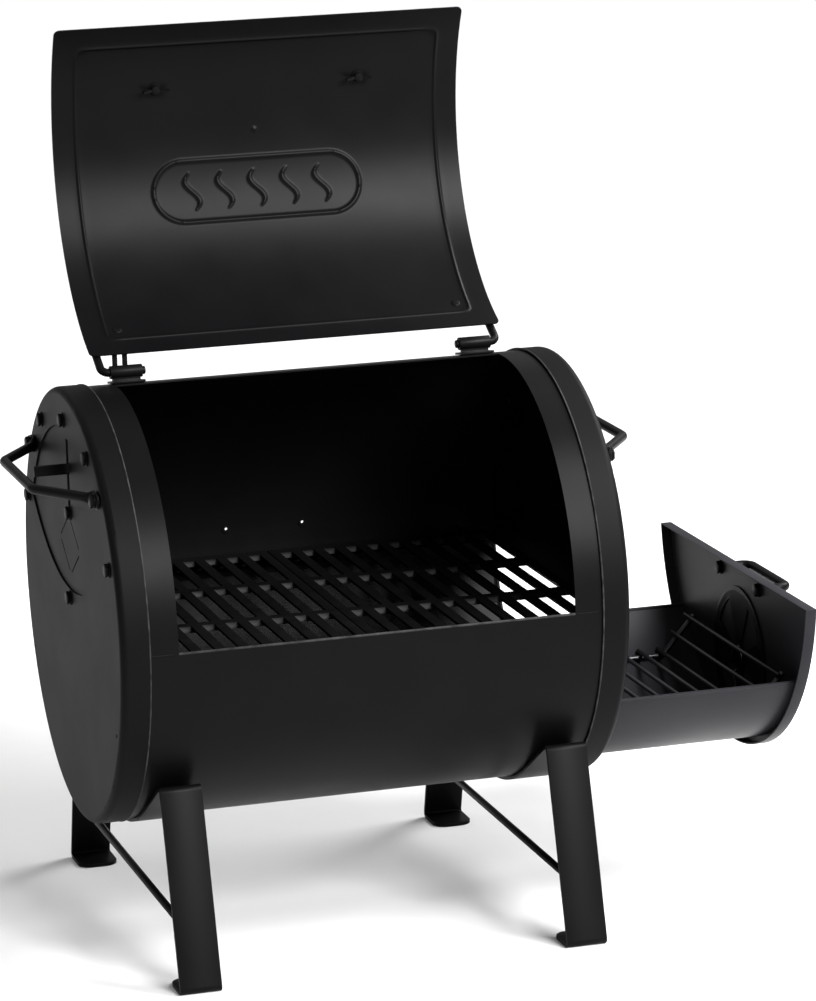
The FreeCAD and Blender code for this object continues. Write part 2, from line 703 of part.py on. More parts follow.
# ---- lid stop: a fork behind the left hinge that the open lid leans on ------------------------------
open_turn = Placement(Vector(), Rotation(X_AXIS, -S.lid_open_angle), hinge)
lid_centre = open_turn.multVec(Vector())
lid_edge = open_turn.multVec(round_axis(lid_outer, S.lid_rear_angle))
prong_back = lid_edge.y + S.stop_inset
prong_top = lid_centre.z - math.sqrt((lid_outer + S.cap_gap) ** 2 - (prong_back - lid_centre.y) ** 2)
foot_low = math.sqrt((S.barrel_radius + S.seam_gap) ** 2 - prong_back ** 2)
fork_width = S.stop_prong_pitch + S.stop_prong_width
fork_left = S.stop_place - fork_width / 2
foot_corner = Vector(fork_left, prong_back, foot_low - S.stop_foot)
fork = Part.makeBox(fork_width, S.stop_sheet, prong_top - foot_corner.z, foot_corner)
fork_slot = Part.makeBox(S.stop_prong_pitch - S.stop_prong_width, 3 * S.stop_sheet, prong_top,
                         Vector(fork_left + S.stop_prong_width, prong_back - S.stop_sheet,
                                foot_low + S.stop_slot_floor))
fork_foot = Part.makeBox(fork_width, S.stop_foot_length, S.stop_foot, foot_corner)
barrel_round = Part.makeCylinder(S.barrel_radius + S.seam_gap, S.barrel_length, Vector(), X_AXIS)
lid_round = Part.makeCylinder(lid_outer + S.cap_gap, S.barrel_length, lid_centre, X_AXIS)
fork = fork.fuse(fork_foot).cut([fork_slot, barrel_round, lid_round])
keep(plain("lid_stop", fork.Solids[0]), "lid_stop")

# ---- legs: one strap per side, bent round the barrel's underside into two legs with feet -------------
saddle = S.barrel_radius + S.cap_gap + S.leg_sheet / 2
crest_angle = math.radians(S.leg_crest_angle)
crest_radius = S.barrel_radius + S.leg_crest_standoff
crest = Vector(-math.cos(crest_angle), -math.sin(crest_angle)) * crest_radius
crest_turn = crest_angle + math.acos(saddle / crest_radius)
keel = Vector(0, -saddle / math.sin(crest_turn))
floor_line = -axis_height + S.leg_sheet / 2
heel = Vector(crest.x - S.leg_spread, floor_line)
toe = heel + Vector(S.leg_lip, 0)
strap = [toe, heel, crest, keel]
strap += [Vector(-corner.x, corner.y) for corner in reversed(strap[:3])]
strap_bends = [S.leg_bend, S.leg_bend, saddle, S.leg_bend, S.leg_bend]
leg_drills = plain("leg_drills", Part.makeCompound([
    Part.makeCylinder(bolt_hole, cap_outer * 2, Vector(step, 0, 0), -Z_AXIS)
    for step in leg_bolt_steps
]))
for label, left in zip(("left_leg", "right_leg"), leg_places):
    body, pad = padded(label, "YZ_Plane", strap_outline(strap, strap_bends, S.leg_sheet), "leg_width")
    toes = body.newObject("PartDesign::Fillet", f"{label}_toes")
    toe_edges = [f"Edge{index}" for index, edge in enumerate(pad.Shape.Edges, start=1)
                 if edge.BoundBox.XLength < SAME and abs(edge.BoundBox.ZLength - S.leg_sheet) < SAME
                 and abs(abs(edge.CenterOfMass.y) + toe.x) < SAME]
    toes.Base = (pad, toe_edges)
    bind(toes, Radius="leg_lip_corner")
    leg_place = barrel_place.multiply(Placement(Vector(left, 0, 0), Rotation()))
    keep(cut(label, body, leg_drills), label, leg_place)

leg_bolts = []
strap_outside = S.barrel_radius + S.cap_gap + S.leg_sheet
for left in leg_places:
    for step in leg_bolt_steps:
        seat = Vector(left + step, 0, -strap_outside - S.seam_gap)
        leg_bolts += bolt(seat, -Z_AXIS, strap_outside - barrel_inner + 2 * S.seam_gap)
keep(plain("leg_bolts", Part.makeCompound(leg_bolts)), "leg_bolts")

# ---- leg braces: a rod between the front and rear leg of each strap, by the strap's left edge ----
brace_z = S.brace_height - axis_height
leg_lean = (crest.x - heel.x) / (crest.y - heel.y)
leg_middle_back = -(crest.x + (brace_z - crest.y) * leg_lean)
leg_half_across = S.leg_sheet / 2 * math.sqrt(1 + leg_lean ** 2)
brace_half = leg_middle_back - leg_half_across - abs(leg_lean) * S.brace_rod / 2 - S.seam_gap
for label, left in zip(("left_leg_brace", "right_leg_brace"), leg_places):
    keep(plain(label, Part.makeCylinder(S.brace_rod / 2, 2 * brace_half,
                                        Vector(left + S.brace_inset, -brace_half, brace_z), Y_AXIS)), label)

# ---- cooking grates: two cast plates with three rows of slots, side by side on two ledges ----------
grate_length = (S.barrel_length - 2 * S.grate_end_gap - S.grate_seam) / 2
grate_low = -S.grate_top_drop - S.grate_thickness
bar_width = S.grate_pitch - S.grate_slot
slot_count = int((grate_length - 2 * S.grate_edge + bar_width) / S.grate_pitch)
first_slot = (grate_length - slot_count * S.grate_pitch + bar_width) / 2
half_depth = math.sqrt(barrel_inner ** 2 - grate_low ** 2) - S.grate_wall_gap
rows = [
    (-half_depth + S.grate_end_rib, -S.grate_rib_back - S.grate_rib / 2),
    (-S.grate_rib_back + S.grate_rib / 2, S.grate_rib_back - S.grate_rib / 2),
    (S.grate_rib_back + S.grate_rib / 2, half_depth - S.grate_end_rib),
]
for label, left in (
    ("left_cooking_grate", S.grate_end_gap),
    ("right_cooking_grate", S.grate_end_gap + grate_length + S.grate_seam),
):
    plate = oblong(0, -half_depth, grate_length, half_depth)
    body, pad = padded(label, "XY_Plane", plate, "grate_thickness")
    slot_row = [edge for front, back in rows
                for edge in oblong(first_slot, front, first_slot + S.grate_slot, back)]
    slots = sketch_on(body, "XY_Plane", f"{label}_slot_row", slot_row)
    pocket = body.newObject("PartDesign::Pocket", f"{label}_slots")
    pocket.Profile = slots
    pocket.Type = "ThroughAll"
    pocket.Reversed = True
    pattern = body.newObject("PartDesign::LinearPattern", f"{label}_slot_pattern")
    pattern.Originals = [pocket]
    pattern.Direction = (slots, ["H_Axis"])
    pattern.Occurrences = slot_count
    bind(pattern, Length=f"{slot_count - 1} * grate_pitch")
    body.Tip = pattern
    keep(body, label, barrel_place.multiply(Placement(Vector(left, 0, grate_low), Rotation())))

# ---- grate ledges: an angle strip along the front and the back of the barrel's inside ------------------
ledge_top = grate_low - S.seam_gap
ledge_back = math.sqrt((barrel_inner - S.seam_gap) ** 2 - (ledge_top - S.ledge_height) ** 2)
ledge_length = S.barrel_length - 2 * S.ledge_end_gap
for label, side in (("front_grate_ledge", -1), ("rear_grate_ledge", 1)):
    shelf_front = min(side * (ledge_back - S.ledge_width), side * ledge_back)
    shelf = Part.makeBox(ledge_length, S.ledge_width, S.ledge_sheet,
                         Vector(S.ledge_end_gap, shelf_front, ledge_top - S.ledge_sheet))
    flange_front = min(side * ledge_back, side * (ledge_back - S.ledge_sheet))
    flange = Part.makeBox(ledge_length, S.ledge_sheet, S.ledge_height,
                          Vector(S.ledge_end_gap, flange_front, ledge_top - S.ledge_height))
    keep(plain(label, shelf.fuse(flange).removeSplitter()), label)

# ---- drawer: a trough with an end plate, behind a D-shaped front panel with a folded rim -----------------
trough_ring = cut(
    "trough_ring",
    drum("trough_outside", "barrel_radius - barrel_sheet - runner_height", "trough_end_gap",
         "barrel_length - drawer_sheet - seam_gap - trough_end_gap"),
    drum("trough_inside", "barrel_radius - barrel_sheet - runner_height - trough_sheet",
         "trough_end_gap + trough_sheet", "barrel_length"),
)
below_rim = block("below_rim", "2 * barrel_length", "2 * barrel_radius", "barrel_radius",
                  "-barrel_length / 2", "-barrel_radius", "-trough_rim_drop - barrel_radius")
keep(shared("trough", trough_ring, below_rim), "drawer_trough", drawer_place)

below_top = block("below_top", "2 * barrel_length", "2 * barrel_radius", "barrel_radius",
                  "-barrel_length / 2", "-barrel_radius", "-drawer_top_drop - barrel_radius")
below_fold = block("below_fold", "2 * barrel_length", "2 * barrel_radius", "barrel_radius",
                   "-barrel_length / 2", "-barrel_radius", "-drawer_top_drop - drawer_sheet - barrel_radius")
panel_round = drum("panel_round", "barrel_radius - barrel_sheet - drawer_wall_gap",
                   "barrel_length - drawer_flange", "drawer_flange")
panel_block = shared("panel_block", panel_round, below_top)
hollow_round = drum("panel_hollow_round", "barrel_radius - barrel_sheet - drawer_wall_gap - drawer_sheet",
                    "barrel_length - 2 * drawer_flange", "2 * drawer_flange - drawer_sheet")
panel_hollow = shared("panel_hollow", hollow_round, below_fold)
damper_z = S.damper_radius + S.damper_margin - (barrel_inner - S.drawer_wall_gap)


def vent_wedge(turn, length, left):
    """A butterfly opening: a sector between two radii, centred on turn from the vertical."""
    half = math.radians(S.vent_angle / 2)
    points = []
    for radius, angles in ((S.vent_inner, (-half, 0, half)), (S.vent_outer, (half, 0, -half))):
        points.append([Vector(0, radius * math.sin(a), radius * math.cos(a)) for a in angles])
    edges = [Part.Arc(*points[0]), Part.LineSegment(points[0][2], points[1][0]),
             Part.Arc(*points[1]), Part.LineSegment(points[1][2], points[0][0])]
    wedge = Part.Face(Part.Wire([edge.toShape() for edge in edges])).extrude(Vector(length, 0, 0))
    wedge.Placement = Placement(Vector(left, 0, damper_z), Rotation(X_AXIS, turn))
    return wedge


panel_turns = [step * 360 / S.vent_count for step in range(int(S.vent_count))]
disc_turns = [turn + 180 / S.vent_count for turn in panel_turns]
panel_vents = plain("panel_vents", Part.makeCompound(
    [vent_wedge(turn, 4 * S.drawer_sheet, panel_inside - S.drawer_sheet) for turn in panel_turns]
    + [Part.makeCylinder(S.pivot_radius + S.bolt_hole_gap, 4 * S.drawer_sheet,
                         Vector(panel_inside - S.drawer_sheet, 0, damper_z), X_AXIS)]))
drawer_seats = [Vector(S.barrel_length, side * S.drawer_bolt_half, -S.drawer_bolt_drop)
                for side in (-1, 1)]
drawer_holes = plain("drawer_handle_holes", Part.makeCompound([
    Part.makeCylinder(bolt_hole, 4 * S.drawer_sheet,
                      seat - X_AXIS * 2 * S.drawer_sheet, X_AXIS) for seat in drawer_seats]))
keep(cut("panel", panel_block, panel_hollow, panel_vents, drawer_holes), "drawer_panel", drawer_place)


def runner(left, front_angle, inner, outer):
    """A short block between the trough and the barrel, round the barrel's axis."""
    half = math.degrees(S.runner_width / 2 / outer)
    ring = Part.makeCylinder(outer, S.runner_length, Vector(), Z_AXIS, 2 * half)
    bore = Part.makeCylinder(inner, S.runner_length, Vector(), Z_AXIS)
    block_shape = ring.cut(bore)
    block_shape.Placement = Placement(Vector(left, 0, 0),
                                      Rotation(X_AXIS, 180 - front_angle - half).multiply(LENGTHWISE))
    return block_shape


rest_left = S.barrel_length - S.rest_inset - S.runner_length
keep(plain("rests", Part.makeCompound([
    runner(rest_left, -90 + side * S.rest_angle, trough_radius + S.runner_gap, barrel_inner - S.seam_gap)
    for side in (-1, 1)])), "drawer_rests")
keep(plain("skids", Part.makeCompound([
    runner(S.trough_end_gap, -90 + side * S.skid_angle, trough_radius + S.seam_gap,
           barrel_inner - S.runner_gap)
    for side in (-1, 1)])), "drawer_skids", drawer_place)

# ---- drawer handle: a U of the same rod, its ends drilled for bolts from inside the panel ---------
drawer_face = S.barrel_length + S.seam_gap
drawer_grip = S.barrel_length + S.drawer_handle_reach
drawer_path = [Vector(x, side * S.drawer_bolt_half, -S.drawer_bolt_drop)
               for side, x in ((-1, drawer_face), (-1, drawer_grip), (1, drawer_grip), (1, drawer_face))]
drawer_handle = rod(drawer_path, S.drawer_handle_bend, S.handle_rod)
drawer_bolts = []
for seat in drawer_seats:
    bore = Part.makeCylinder(S.bolt_radius + S.nut_gap, S.drawer_bolt_depth + 2 * S.bolt_tail, seat, X_AXIS)
    drawer_handle = drawer_handle.cut(bore)
    drawer_bolts += bolt(seat - X_AXIS * (S.drawer_sheet + S.seam_gap), -X_AXIS,
                         S.drawer_sheet + S.seam_gap + S.drawer_bolt_depth - S.nut_height, nut=False)
keep(plain("drawer_handle", drawer_handle.Solids[0]), "drawer_handle", drawer_place)
keep(plain("drawer_bolts", Part.makeCompound(drawer_bolts)), "drawer_handle_bolts", drawer_place)

# ---- damper: a butterfly disc inside the panel, shut, on a pivot bolt with a spring and a nut -------
disc_right = panel_inside - S.damper_gap
pivot = Vector(disc_right, 0, damper_z)
disc = Part.makeCylinder(S.damper_radius, S.damper_sheet, pivot, -X_AXIS)
disc_vents = [vent_wedge(turn, 4 * S.damper_sheet, disc_right - 2 * S.damper_sheet)
              for turn in disc_turns]
bore = Part.makeCylinder(S.pivot_radius + S.hinge_clearance, 2 * S.damper_sheet, pivot, -X_AXIS)
keep(plain("damper", disc.cut(disc_vents + [bore])), "damper_disc", drawer_place)

spring_right = disc_right - S.damper_sheet - S.damper_gap
spring = Part.makeTorus(S.spring_radius, S.spring_wire / 2,
                        Vector(spring_right - S.spring_wire / 2, 0, damper_z), X_AXIS)
spring_nut_top = spring_right - S.spring_wire - S.damper_gap
keep(plain("spring", spring), "damper_spring", drawer_place)

washer = Part.makeCylinder(S.spring_radius + S.spring_wire, S.drawer_sheet,
                           Vector(spring_nut_top, 0, damper_z), -X_AXIS)
washer = washer.cut(Part.makeCylinder(S.pivot_radius + S.nut_gap, S.drawer_sheet,
                                      Vector(spring_nut_top, 0, damper_z), -X_AXIS))
pivot_seat = Vector(S.barrel_length + S.seam_gap, 0, damper_z)
pivot_grip = pivot_seat.x - spring_nut_top + S.drawer_sheet + S.seam_gap
pivot_bolt = bolt(pivot_seat, X_AXIS, pivot_grip, radius=S.pivot_radius)
keep(plain("pivot", Part.makeCompound(pivot_bolt + [washer])), "damper_pivot_bolt", drawer_place)

# ---- charcoal grate: cross wires spot-welded on two rails that bend up at the drawer's front --------
seat_radius = trough_inner - S.wire_seat_gap
wire_z = S.wire_rise - trough_inner
wire_half = math.sqrt(seat_radius ** 2 - (wire_z - S.wire / 2) ** 2)
below_wire = (S.wire + S.rail) / 2 + S.seam_gap
slope = math.radians(S.slope_angle)
uphill = Vector(math.cos(slope), 0, math.sin(slope))
rise_reach = uphill.x * ((S.slope_count - 1) * S.slope_pitch + S.slope_tail)
bend_x = panel_inside - S.slope_panel_gap - rise_reach - uphill.z * (below_wire + S.rail / 2)
flat_count = int((bend_x - S.trough_end_gap - S.trough_sheet - S.wire_end_gap) / S.wire_pitch)
flat_places = [Vector(bend_x - step * S.wire_pitch, 0, wire_z) for step in range(1, flat_count + 1)]
sloped_places = [Vector(bend_x, 0, wire_z) + uphill * step * S.slope_pitch
                 for step in range(int(S.slope_count))]
wires = [Part.makeCylinder(S.wire / 2, 2 * wire_half, place - Y_AXIS * wire_half, Y_AXIS)
         for place in flat_places + sloped_places]
keep(plain("cross_wires", Part.makeCompound(wires)), "charcoal_grate_wires", drawer_place)

side_run = [flat_places[-1] - X_AXIS * S.slope_tail, sloped_places[0],
            sloped_places[-1] + uphill * S.slope_tail]
drops = [Vector(0, 0, -1), Vector(math.tan(slope / 2), 0, -1), Vector(uphill.z, 0, -uphill.x)]
rails = []
for side in (-1, 1):
    line = [point + drop * below_wire + Y_AXIS * side * (wire_half - S.rail_inset)
            for point, drop in zip(side_run, drops)]
    rails.append(rod(line, below_wire, S.rail))
keep(plain("rails", Part.makeCompound(rails)), "charcoal_grate_rails", drawer_place)

# ---- check every object, then write one file for each piece ---------------------------------------------
doc.recompute()
for thing in doc.Objects:
    if "Invalid" in thing.State or "Error" in thing.State:
        raise RuntimeError(f"{thing.Label} failed: {thing.State}")
os.makedirs("parts", exist_ok=True)
for piece in pieces:
    shape = piece.Shape
    if shape.isNull() or not shape.isValid() or not shape.Solids:
        raise RuntimeError(f"{piece.Label} has no valid solid")
    shape.exportStep(f"parts/{piece.Label}.step")
print(f"{len(pieces)} pieces written")
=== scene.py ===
import json
import math
import bmesh
import bpy
from mathutils import Matrix, Vector


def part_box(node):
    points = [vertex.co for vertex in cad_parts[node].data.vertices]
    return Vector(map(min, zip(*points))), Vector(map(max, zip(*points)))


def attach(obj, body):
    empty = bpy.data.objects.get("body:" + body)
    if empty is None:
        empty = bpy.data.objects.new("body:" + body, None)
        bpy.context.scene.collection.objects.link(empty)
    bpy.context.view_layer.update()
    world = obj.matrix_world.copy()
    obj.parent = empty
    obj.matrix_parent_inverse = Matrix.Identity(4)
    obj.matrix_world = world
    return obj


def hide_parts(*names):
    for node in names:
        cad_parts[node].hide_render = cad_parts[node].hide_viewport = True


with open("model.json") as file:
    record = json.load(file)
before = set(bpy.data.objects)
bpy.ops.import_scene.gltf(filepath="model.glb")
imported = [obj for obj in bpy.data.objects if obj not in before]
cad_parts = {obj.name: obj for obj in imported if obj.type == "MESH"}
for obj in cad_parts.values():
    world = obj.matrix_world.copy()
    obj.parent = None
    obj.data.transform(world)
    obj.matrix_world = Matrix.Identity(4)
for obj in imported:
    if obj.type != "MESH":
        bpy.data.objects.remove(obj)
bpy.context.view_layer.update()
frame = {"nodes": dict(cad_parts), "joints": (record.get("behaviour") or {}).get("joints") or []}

# Camera. Eye height of someone standing a little to the left of the smoker and some way off,
# with a long lens, so that the barrel keeps its round end and its straight lines.
camera_yaw = math.radians(16.476)
camera_pitch = math.radians(12.687)
camera_roll = math.radians(-1.576)
ahead = Vector((math.sin(camera_yaw) * math.cos(camera_pitch),
                math.cos(camera_yaw) * math.cos(camera_pitch), -math.sin(camera_pitch)))
level = Vector((math.cos(camera_yaw), -math.sin(camera_yaw), 0))
upward = level.cross(ahead)
tilted_right = level * math.cos(camera_roll) + upward * math.sin(camera_roll)
tilted_up = upward * math.cos(camera_roll) - level * math.sin(camera_roll)
camera = bpy.data.objects.new("camera", bpy.data.cameras.new("camera"))
camera.data.lens = 157.73
camera.data.sensor_width = 36
camera.matrix_world = (Matrix.Translation((-1.03088, -3.49893, 1.16763))
                       @ Matrix((tilted_right, tilted_up, -ahead)).transposed().to_4x4())
bpy.context.scene.collection.objects.link(camera)
bpy.context.scene.camera = camera


# Floor and light. A flat sheet of matt white paper under four soft lights: a broad screen at the
# front right, a broader one overhead, a box behind on the right, and a small box over the drawer.
def linear(hex_colour):
    """The linear value of an sRGB hex colour."""
    parts = [int(hex_colour[start:start + 2], 16) / 255 for start in (1, 3, 5)]
    return tuple(((p + 0.055) / 1.055) ** 2.4 if p > 0.04045 else p / 12.92 for p in parts) + (1,)


def add(material, kind, links=(), **settings):
    """A node with its settings, and links given as (output socket, input name)."""
    node = material.node_tree.nodes.new(kind)
    for name, value in settings.items():
        name = name.replace("_", " ") if name.replace("_", " ") in node.inputs else name
        if name in node.inputs:
            node.inputs[name].default_value = value
        else:
            setattr(node, name, value)
    for source, target in links:
        material.node_tree.links.new(source, node.inputs[target])
    return node


def blank_material(name):
    """A material with an empty node tree."""
    material = bpy.data.materials.new(name)
    material.use_nodes = True
    material.node_tree.nodes.clear()
    return material


mm = 0.001
# Matt white paper: it spreads light evenly and has only a faint mottle.
studio_floor = blank_material("matt_white_studio_paper")
spot = add(studio_floor, "ShaderNodeTexCoord").outputs["Object"]
paper = add(studio_floor, "ShaderNodeTexNoise", [(spot, "Vector")], Scale=1 / (25 * mm))
tint = add(studio_floor, "ShaderNodeMapRange", [(paper.outputs["Fac"], "Value")],
           To_Min=0.75, To_Max=0.77)
shade = add(studio_floor, "ShaderNodeBsdfPrincipled", [(tint.outputs["Result"], "Base Color")],
            Roughness=0.9)
add(studio_floor, "ShaderNodeOutputMaterial", [(shade.outputs["BSDF"], "Surface")])

floor_half = 30
sweep = bmesh.new()
bmesh.ops.create_grid(sweep, x_segments=1, y_segments=1, size=floor_half)
floor = bpy.data.objects.new("studio_floor", bpy.data.meshes.new("studio_floor"))
sweep.to_mesh(floor.data)
floor.data.materials.append(studio_floor)
bpy.context.scene.collection.objects.link(floor)

world = bpy.data.worlds.new("studio")
world.use_nodes = True
world.node_tree.nodes["Background"].inputs["Color"].default_value = (1, 1, 1, 1)
world.node_tree.nodes["Background"].inputs["Strength"].default_value = 0.2
bpy.context.scene.world = world
bpy.context.scene.view_settings.view_transform = "Standard"


def lamp(name, kind, spot, power, aim=(0, 0, 0), **settings):
    """A light at a spot, turned to its aim."""
    light = bpy.data.objects.new(name, bpy.data.lights.new(name, kind))
    light.data.energy = power
    for setting, value in settings.items():
        setattr(light.data, setting, value)
    light.location = spot
    light.rotation_euler = (Vector(aim) - light.location).to_track_quat("-Z", "Y").to_euler()
    bpy.context.scene.collection.objects.link(light)


# The two broad ones are suns, so that the floor stays one even white out to its far edge.
# A wide angle makes the soft edge of a big screen.
lamp("front_screen", "SUN", (0.85, -2.45, 1.6), 5.2, angle=math.radians(26))
lamp("overhead_screen", "SUN", (0, 0, 3), 0.9, angle=math.radians(150))
lamp("rear_right_box", "AREA", (1.7, 0.5, 1.7), 60, aim=(0.3, 0, 0.2), size=1.2)
lamp("drawer_box", "AREA", (0.66, -0.6, 1.15), 21, aim=(0.28, 0.02, 0.15), size=0.4)


# Barrel. Steel sheet rolled into a drum with a cooking window left open, and an arch strip welded
# in at each end of the window. The whole drum is sprayed with black stove paint and baked.
shell_low, shell_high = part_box("barrel_shell")
barrel_radius = shell_high.y
axis_height = shell_low.z + barrel_radius
left_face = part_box("left_end_cap")[0].x
right_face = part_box("right_end_cap")[1].x
barrel_length = right_face - left_face
OUT_LEFT, OUT_RIGHT = Vector((-1, 0, 0)), Vector((1, 0, 0))
BACK, DOWN = Vector((0, 1, 0)), Vector((0, 0, -1))


def on_barrel(x, y, z):
    """A point given in millimetres from the left face, and from the barrel's axis."""
    return Vector((left_face + x * mm, y * mm, axis_height + z * mm))


def round_axis(radius, front_angle, x):
    """A point at an angle round the axis from the front horizontal, up over the top."""
    turn = math.radians(front_angle)
    return on_barrel(x, -radius * math.cos(turn), radius * math.sin(turn))


def outward(front_angle):
    """The direction straight out of the barrel at an angle round its axis."""
    turn = math.radians(front_angle)
    return Vector((0, -math.cos(turn), math.sin(turn)))


def sprayed_paint(name, deep, pale, smoothest, roughest, peel, cloud=55):
    """Silicone stove paint on steel: sprayed, so it has an orange peel, and uneven in gloss."""
    paint = blank_material(name)
    spot = add(paint, "ShaderNodeTexCoord").outputs["Object"]
    drift = add(paint, "ShaderNodeTexNoise", [(spot, "Vector")], Scale=1 / (cloud * mm), Detail=4.0)
    gloss = add(paint, "ShaderNodeMapRange", [(drift.outputs["Fac"], "Value")],
                From_Min=0.3, From_Max=0.7, To_Min=smoothest, To_Max=roughest)
    tone = add(paint, "ShaderNodeValToRGB", [(drift.outputs["Fac"], "Fac")])
    tone.color_ramp.elements[0].position = 0.3
    tone.color_ramp.elements[0].color = linear(deep)
    tone.color_ramp.elements[1].position = 0.7
    tone.color_ramp.elements[1].color = linear(pale)
    # real orange peel is about 0.6 mm across and would not show, so it is drawn at twice that
    grain = add(paint, "ShaderNodeTexNoise", [(spot, "Vector")], Scale=1 / (1.3 * mm), Detail=3.0)
    relief = add(paint, "ShaderNodeBump", [(grain.outputs["Fac"], "Height")],
                 Strength=peel, Distance=0.1 * mm)
    coat = add(paint, "ShaderNodeBsdfPrincipled",
               [(tone.outputs["Color"], "Base Color"), (gloss.outputs["Result"], "Roughness"),
                (relief.outputs["Normal"], "Normal")], Specular_IOR_Level=0.052, IOR=1.5)
    add(paint, "ShaderNodeOutputMaterial", [(coat.outputs["BSDF"], "Surface")])
    return paint


def painted(material, *nodes):
    """Gives CAD nodes that keep their own shape their finish."""
    for name in nodes:
        frame["nodes"][name].data.materials.clear()
        frame["nodes"][name].data.materials.append(material)


def finished(name, shape, material, body, slot, *stands_for, crease=32):
    """Makes a bmesh a named piece on a body. It stands for the CAD nodes, if there are any."""
    bmesh.ops.remove_doubles(shape, verts=shape.verts, dist=0.002 * mm)
    bmesh.ops.recalc_face_normals(shape, faces=shape.faces)
    for face in shape.faces:
        face.smooth = True
    for edge in shape.edges:
        edge.smooth = edge.calc_face_angle(0) < math.radians(crease)
    piece = bpy.data.objects.new(name, bpy.data.meshes.new(name))
    shape.to_mesh(piece.data)
    shape.free()
    piece.data.materials.append(material)
    bpy.context.scene.collection.objects.link(piece)
    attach(piece, body)
    if stands_for:
        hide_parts(*stands_for)
    return piece


# Satin black with a fine peel: nearly black in the middle, with wide soft highlights.
black_paint = sprayed_paint("baked_satin_stove_paint", "#070708", "#09090a", 0.36, 0.41, 0.3)
painted(black_paint, "barrel_shell", "left_arch_strip", "right_arch_strip", "front_grate_ledge",
        "rear_grate_ledge", "drawer_rests")

# The beads stand 0.3 mm proud, because the shut lid passes half a millimetre above the drum.
bead_step = 1.5
bead_size = 1.25
bead_sink = 0.45
seam_angle = -1
seams = ((26, 45), (387, 406))
beads = bmesh.new()
for first, last in seams:
    for step in range(int((last - first) / bead_step)):
        lump = bmesh.ops.create_icosphere(beads, subdivisions=2, radius=bead_size * mm)["verts"]
        bmesh.ops.scale(beads, vec=(1, 0.6, 0.85 + 0.15 * math.sin(step * 2.4)), verts=lump)
        place = round_axis(barrel_radius / mm - bead_sink, seam_angle, first + step * bead_step)
        bmesh.ops.translate(beads, vec=place, verts=lump)
finished("window_weld_beads", beads, black_paint, "barrel", "black_paint")


def turned(out, place):
    """A matrix that turns Z to a direction and moves it to a place."""
    return Matrix.Translation(place) @ out.to_track_quat("Z", "Y").to_matrix().to_4x4()


def round_off(shape, edges, offset, segments=2):
    """Rounds edges of a bmesh by an offset in metres."""
    bmesh.ops.bevel(shape, geom=edges, offset=offset, segments=segments, profile=0.5, material=-1,
                    affect="EDGES", clamp_overlap=True)


def edges_within(verts):
    """The edges whose two ends are both in a list of vertices."""
    return list({edge for vert in verts for edge in vert.link_edges
                 if edge.verts[0] in verts and edge.verts[1] in verts})


def swept_rod(shape, path, bends, radius, segments=24, closed=True):
    """A round rod: each straight run is an extrusion, and each bend a spin."""
    ahead = (path[1] - path[0]).normalized()
    ring = bmesh.ops.create_circle(shape, segments=segments, radius=radius * mm,
                                   matrix=turned(ahead, path[0]))["verts"]
    every = list(ring)
    at = path[0]
    for number, corner in enumerate(path[1:]):
        final = number == len(path) - 2
        if final:
            reach = corner
        else:
            onward = (path[number + 2] - corner).normalized()
            turn = ahead.angle(onward)
            reach = corner - ahead * bends[number] * mm * math.tan(turn / 2)
        run = bmesh.ops.extrude_edge_only(shape, edges=edges_within(ring))["geom"]
        ring = [part for part in run if isinstance(part, bmesh.types.BMVert)]
        bmesh.ops.translate(shape, vec=reach - at, verts=ring)
        every += ring
        at = reach
        if not final and turn > 0.001:
            axis = ahead.cross(onward).normalized()
            centre = at + axis.cross(ahead) * bends[number] * mm
            before = set(shape.verts)
            last = bmesh.ops.spin(shape, geom=ring + edges_within(ring), cent=centre, axis=axis,
                                  dvec=(0, 0, 0), angle=turn, space=Matrix(),
                                  steps=max(3, int(turn * 10)), use_duplicate=False)["geom_last"]
            ring = [part for part in last if isinstance(part, bmesh.types.BMVert)]
            every += [vert for vert in shape.verts if vert not in before]
            at = centre + Matrix.Rotation(turn, 3, axis) @ (at - centre)
            ahead = onward
    if closed:
        loose = [edge for edge in {edge for vert in every for edge in vert.link_edges}
                 if edge.is_boundary]
        caps = bmesh.ops.holes_fill(shape, edges=loose, sides=0)["faces"]
        round_off(shape, list({edge for face in caps for edge in face.edges}), 0.3 * radius * mm)
    return every


# A lighter grey copy of the black paint for the proud hems: it paints a highlight line along each hem.
hem_highlight_paint = sprayed_paint("painted_highlight_stove_paint", "#19191a", "#343435", 0.38, 0.48, 0.2,
                             cloud=9)
# The hem also stays 0.3 mm proud, clear of the shut lid.
hem_radius = 1.1
hem_sink = 0.8
hem_angle = -0.9
window_sides = (48, 384)
hem = bmesh.new()
hem_line = [round_axis(barrel_radius / mm - hem_sink, hem_angle, x) for x in window_sides]
swept_rod(hem, hem_line, (), hem_radius, segments=12)
# the hem wears the lighter paint, a painted highlight line along the window's front edge
finished("window_front_hem", hem, hem_highlight_paint, "barrel", "black_paint")

# The two accessory holes in the rear wall, with a flanged bushing in each.
hole_x = (181, 251)
hole_height = 10.5
bushing_setback = 1.6
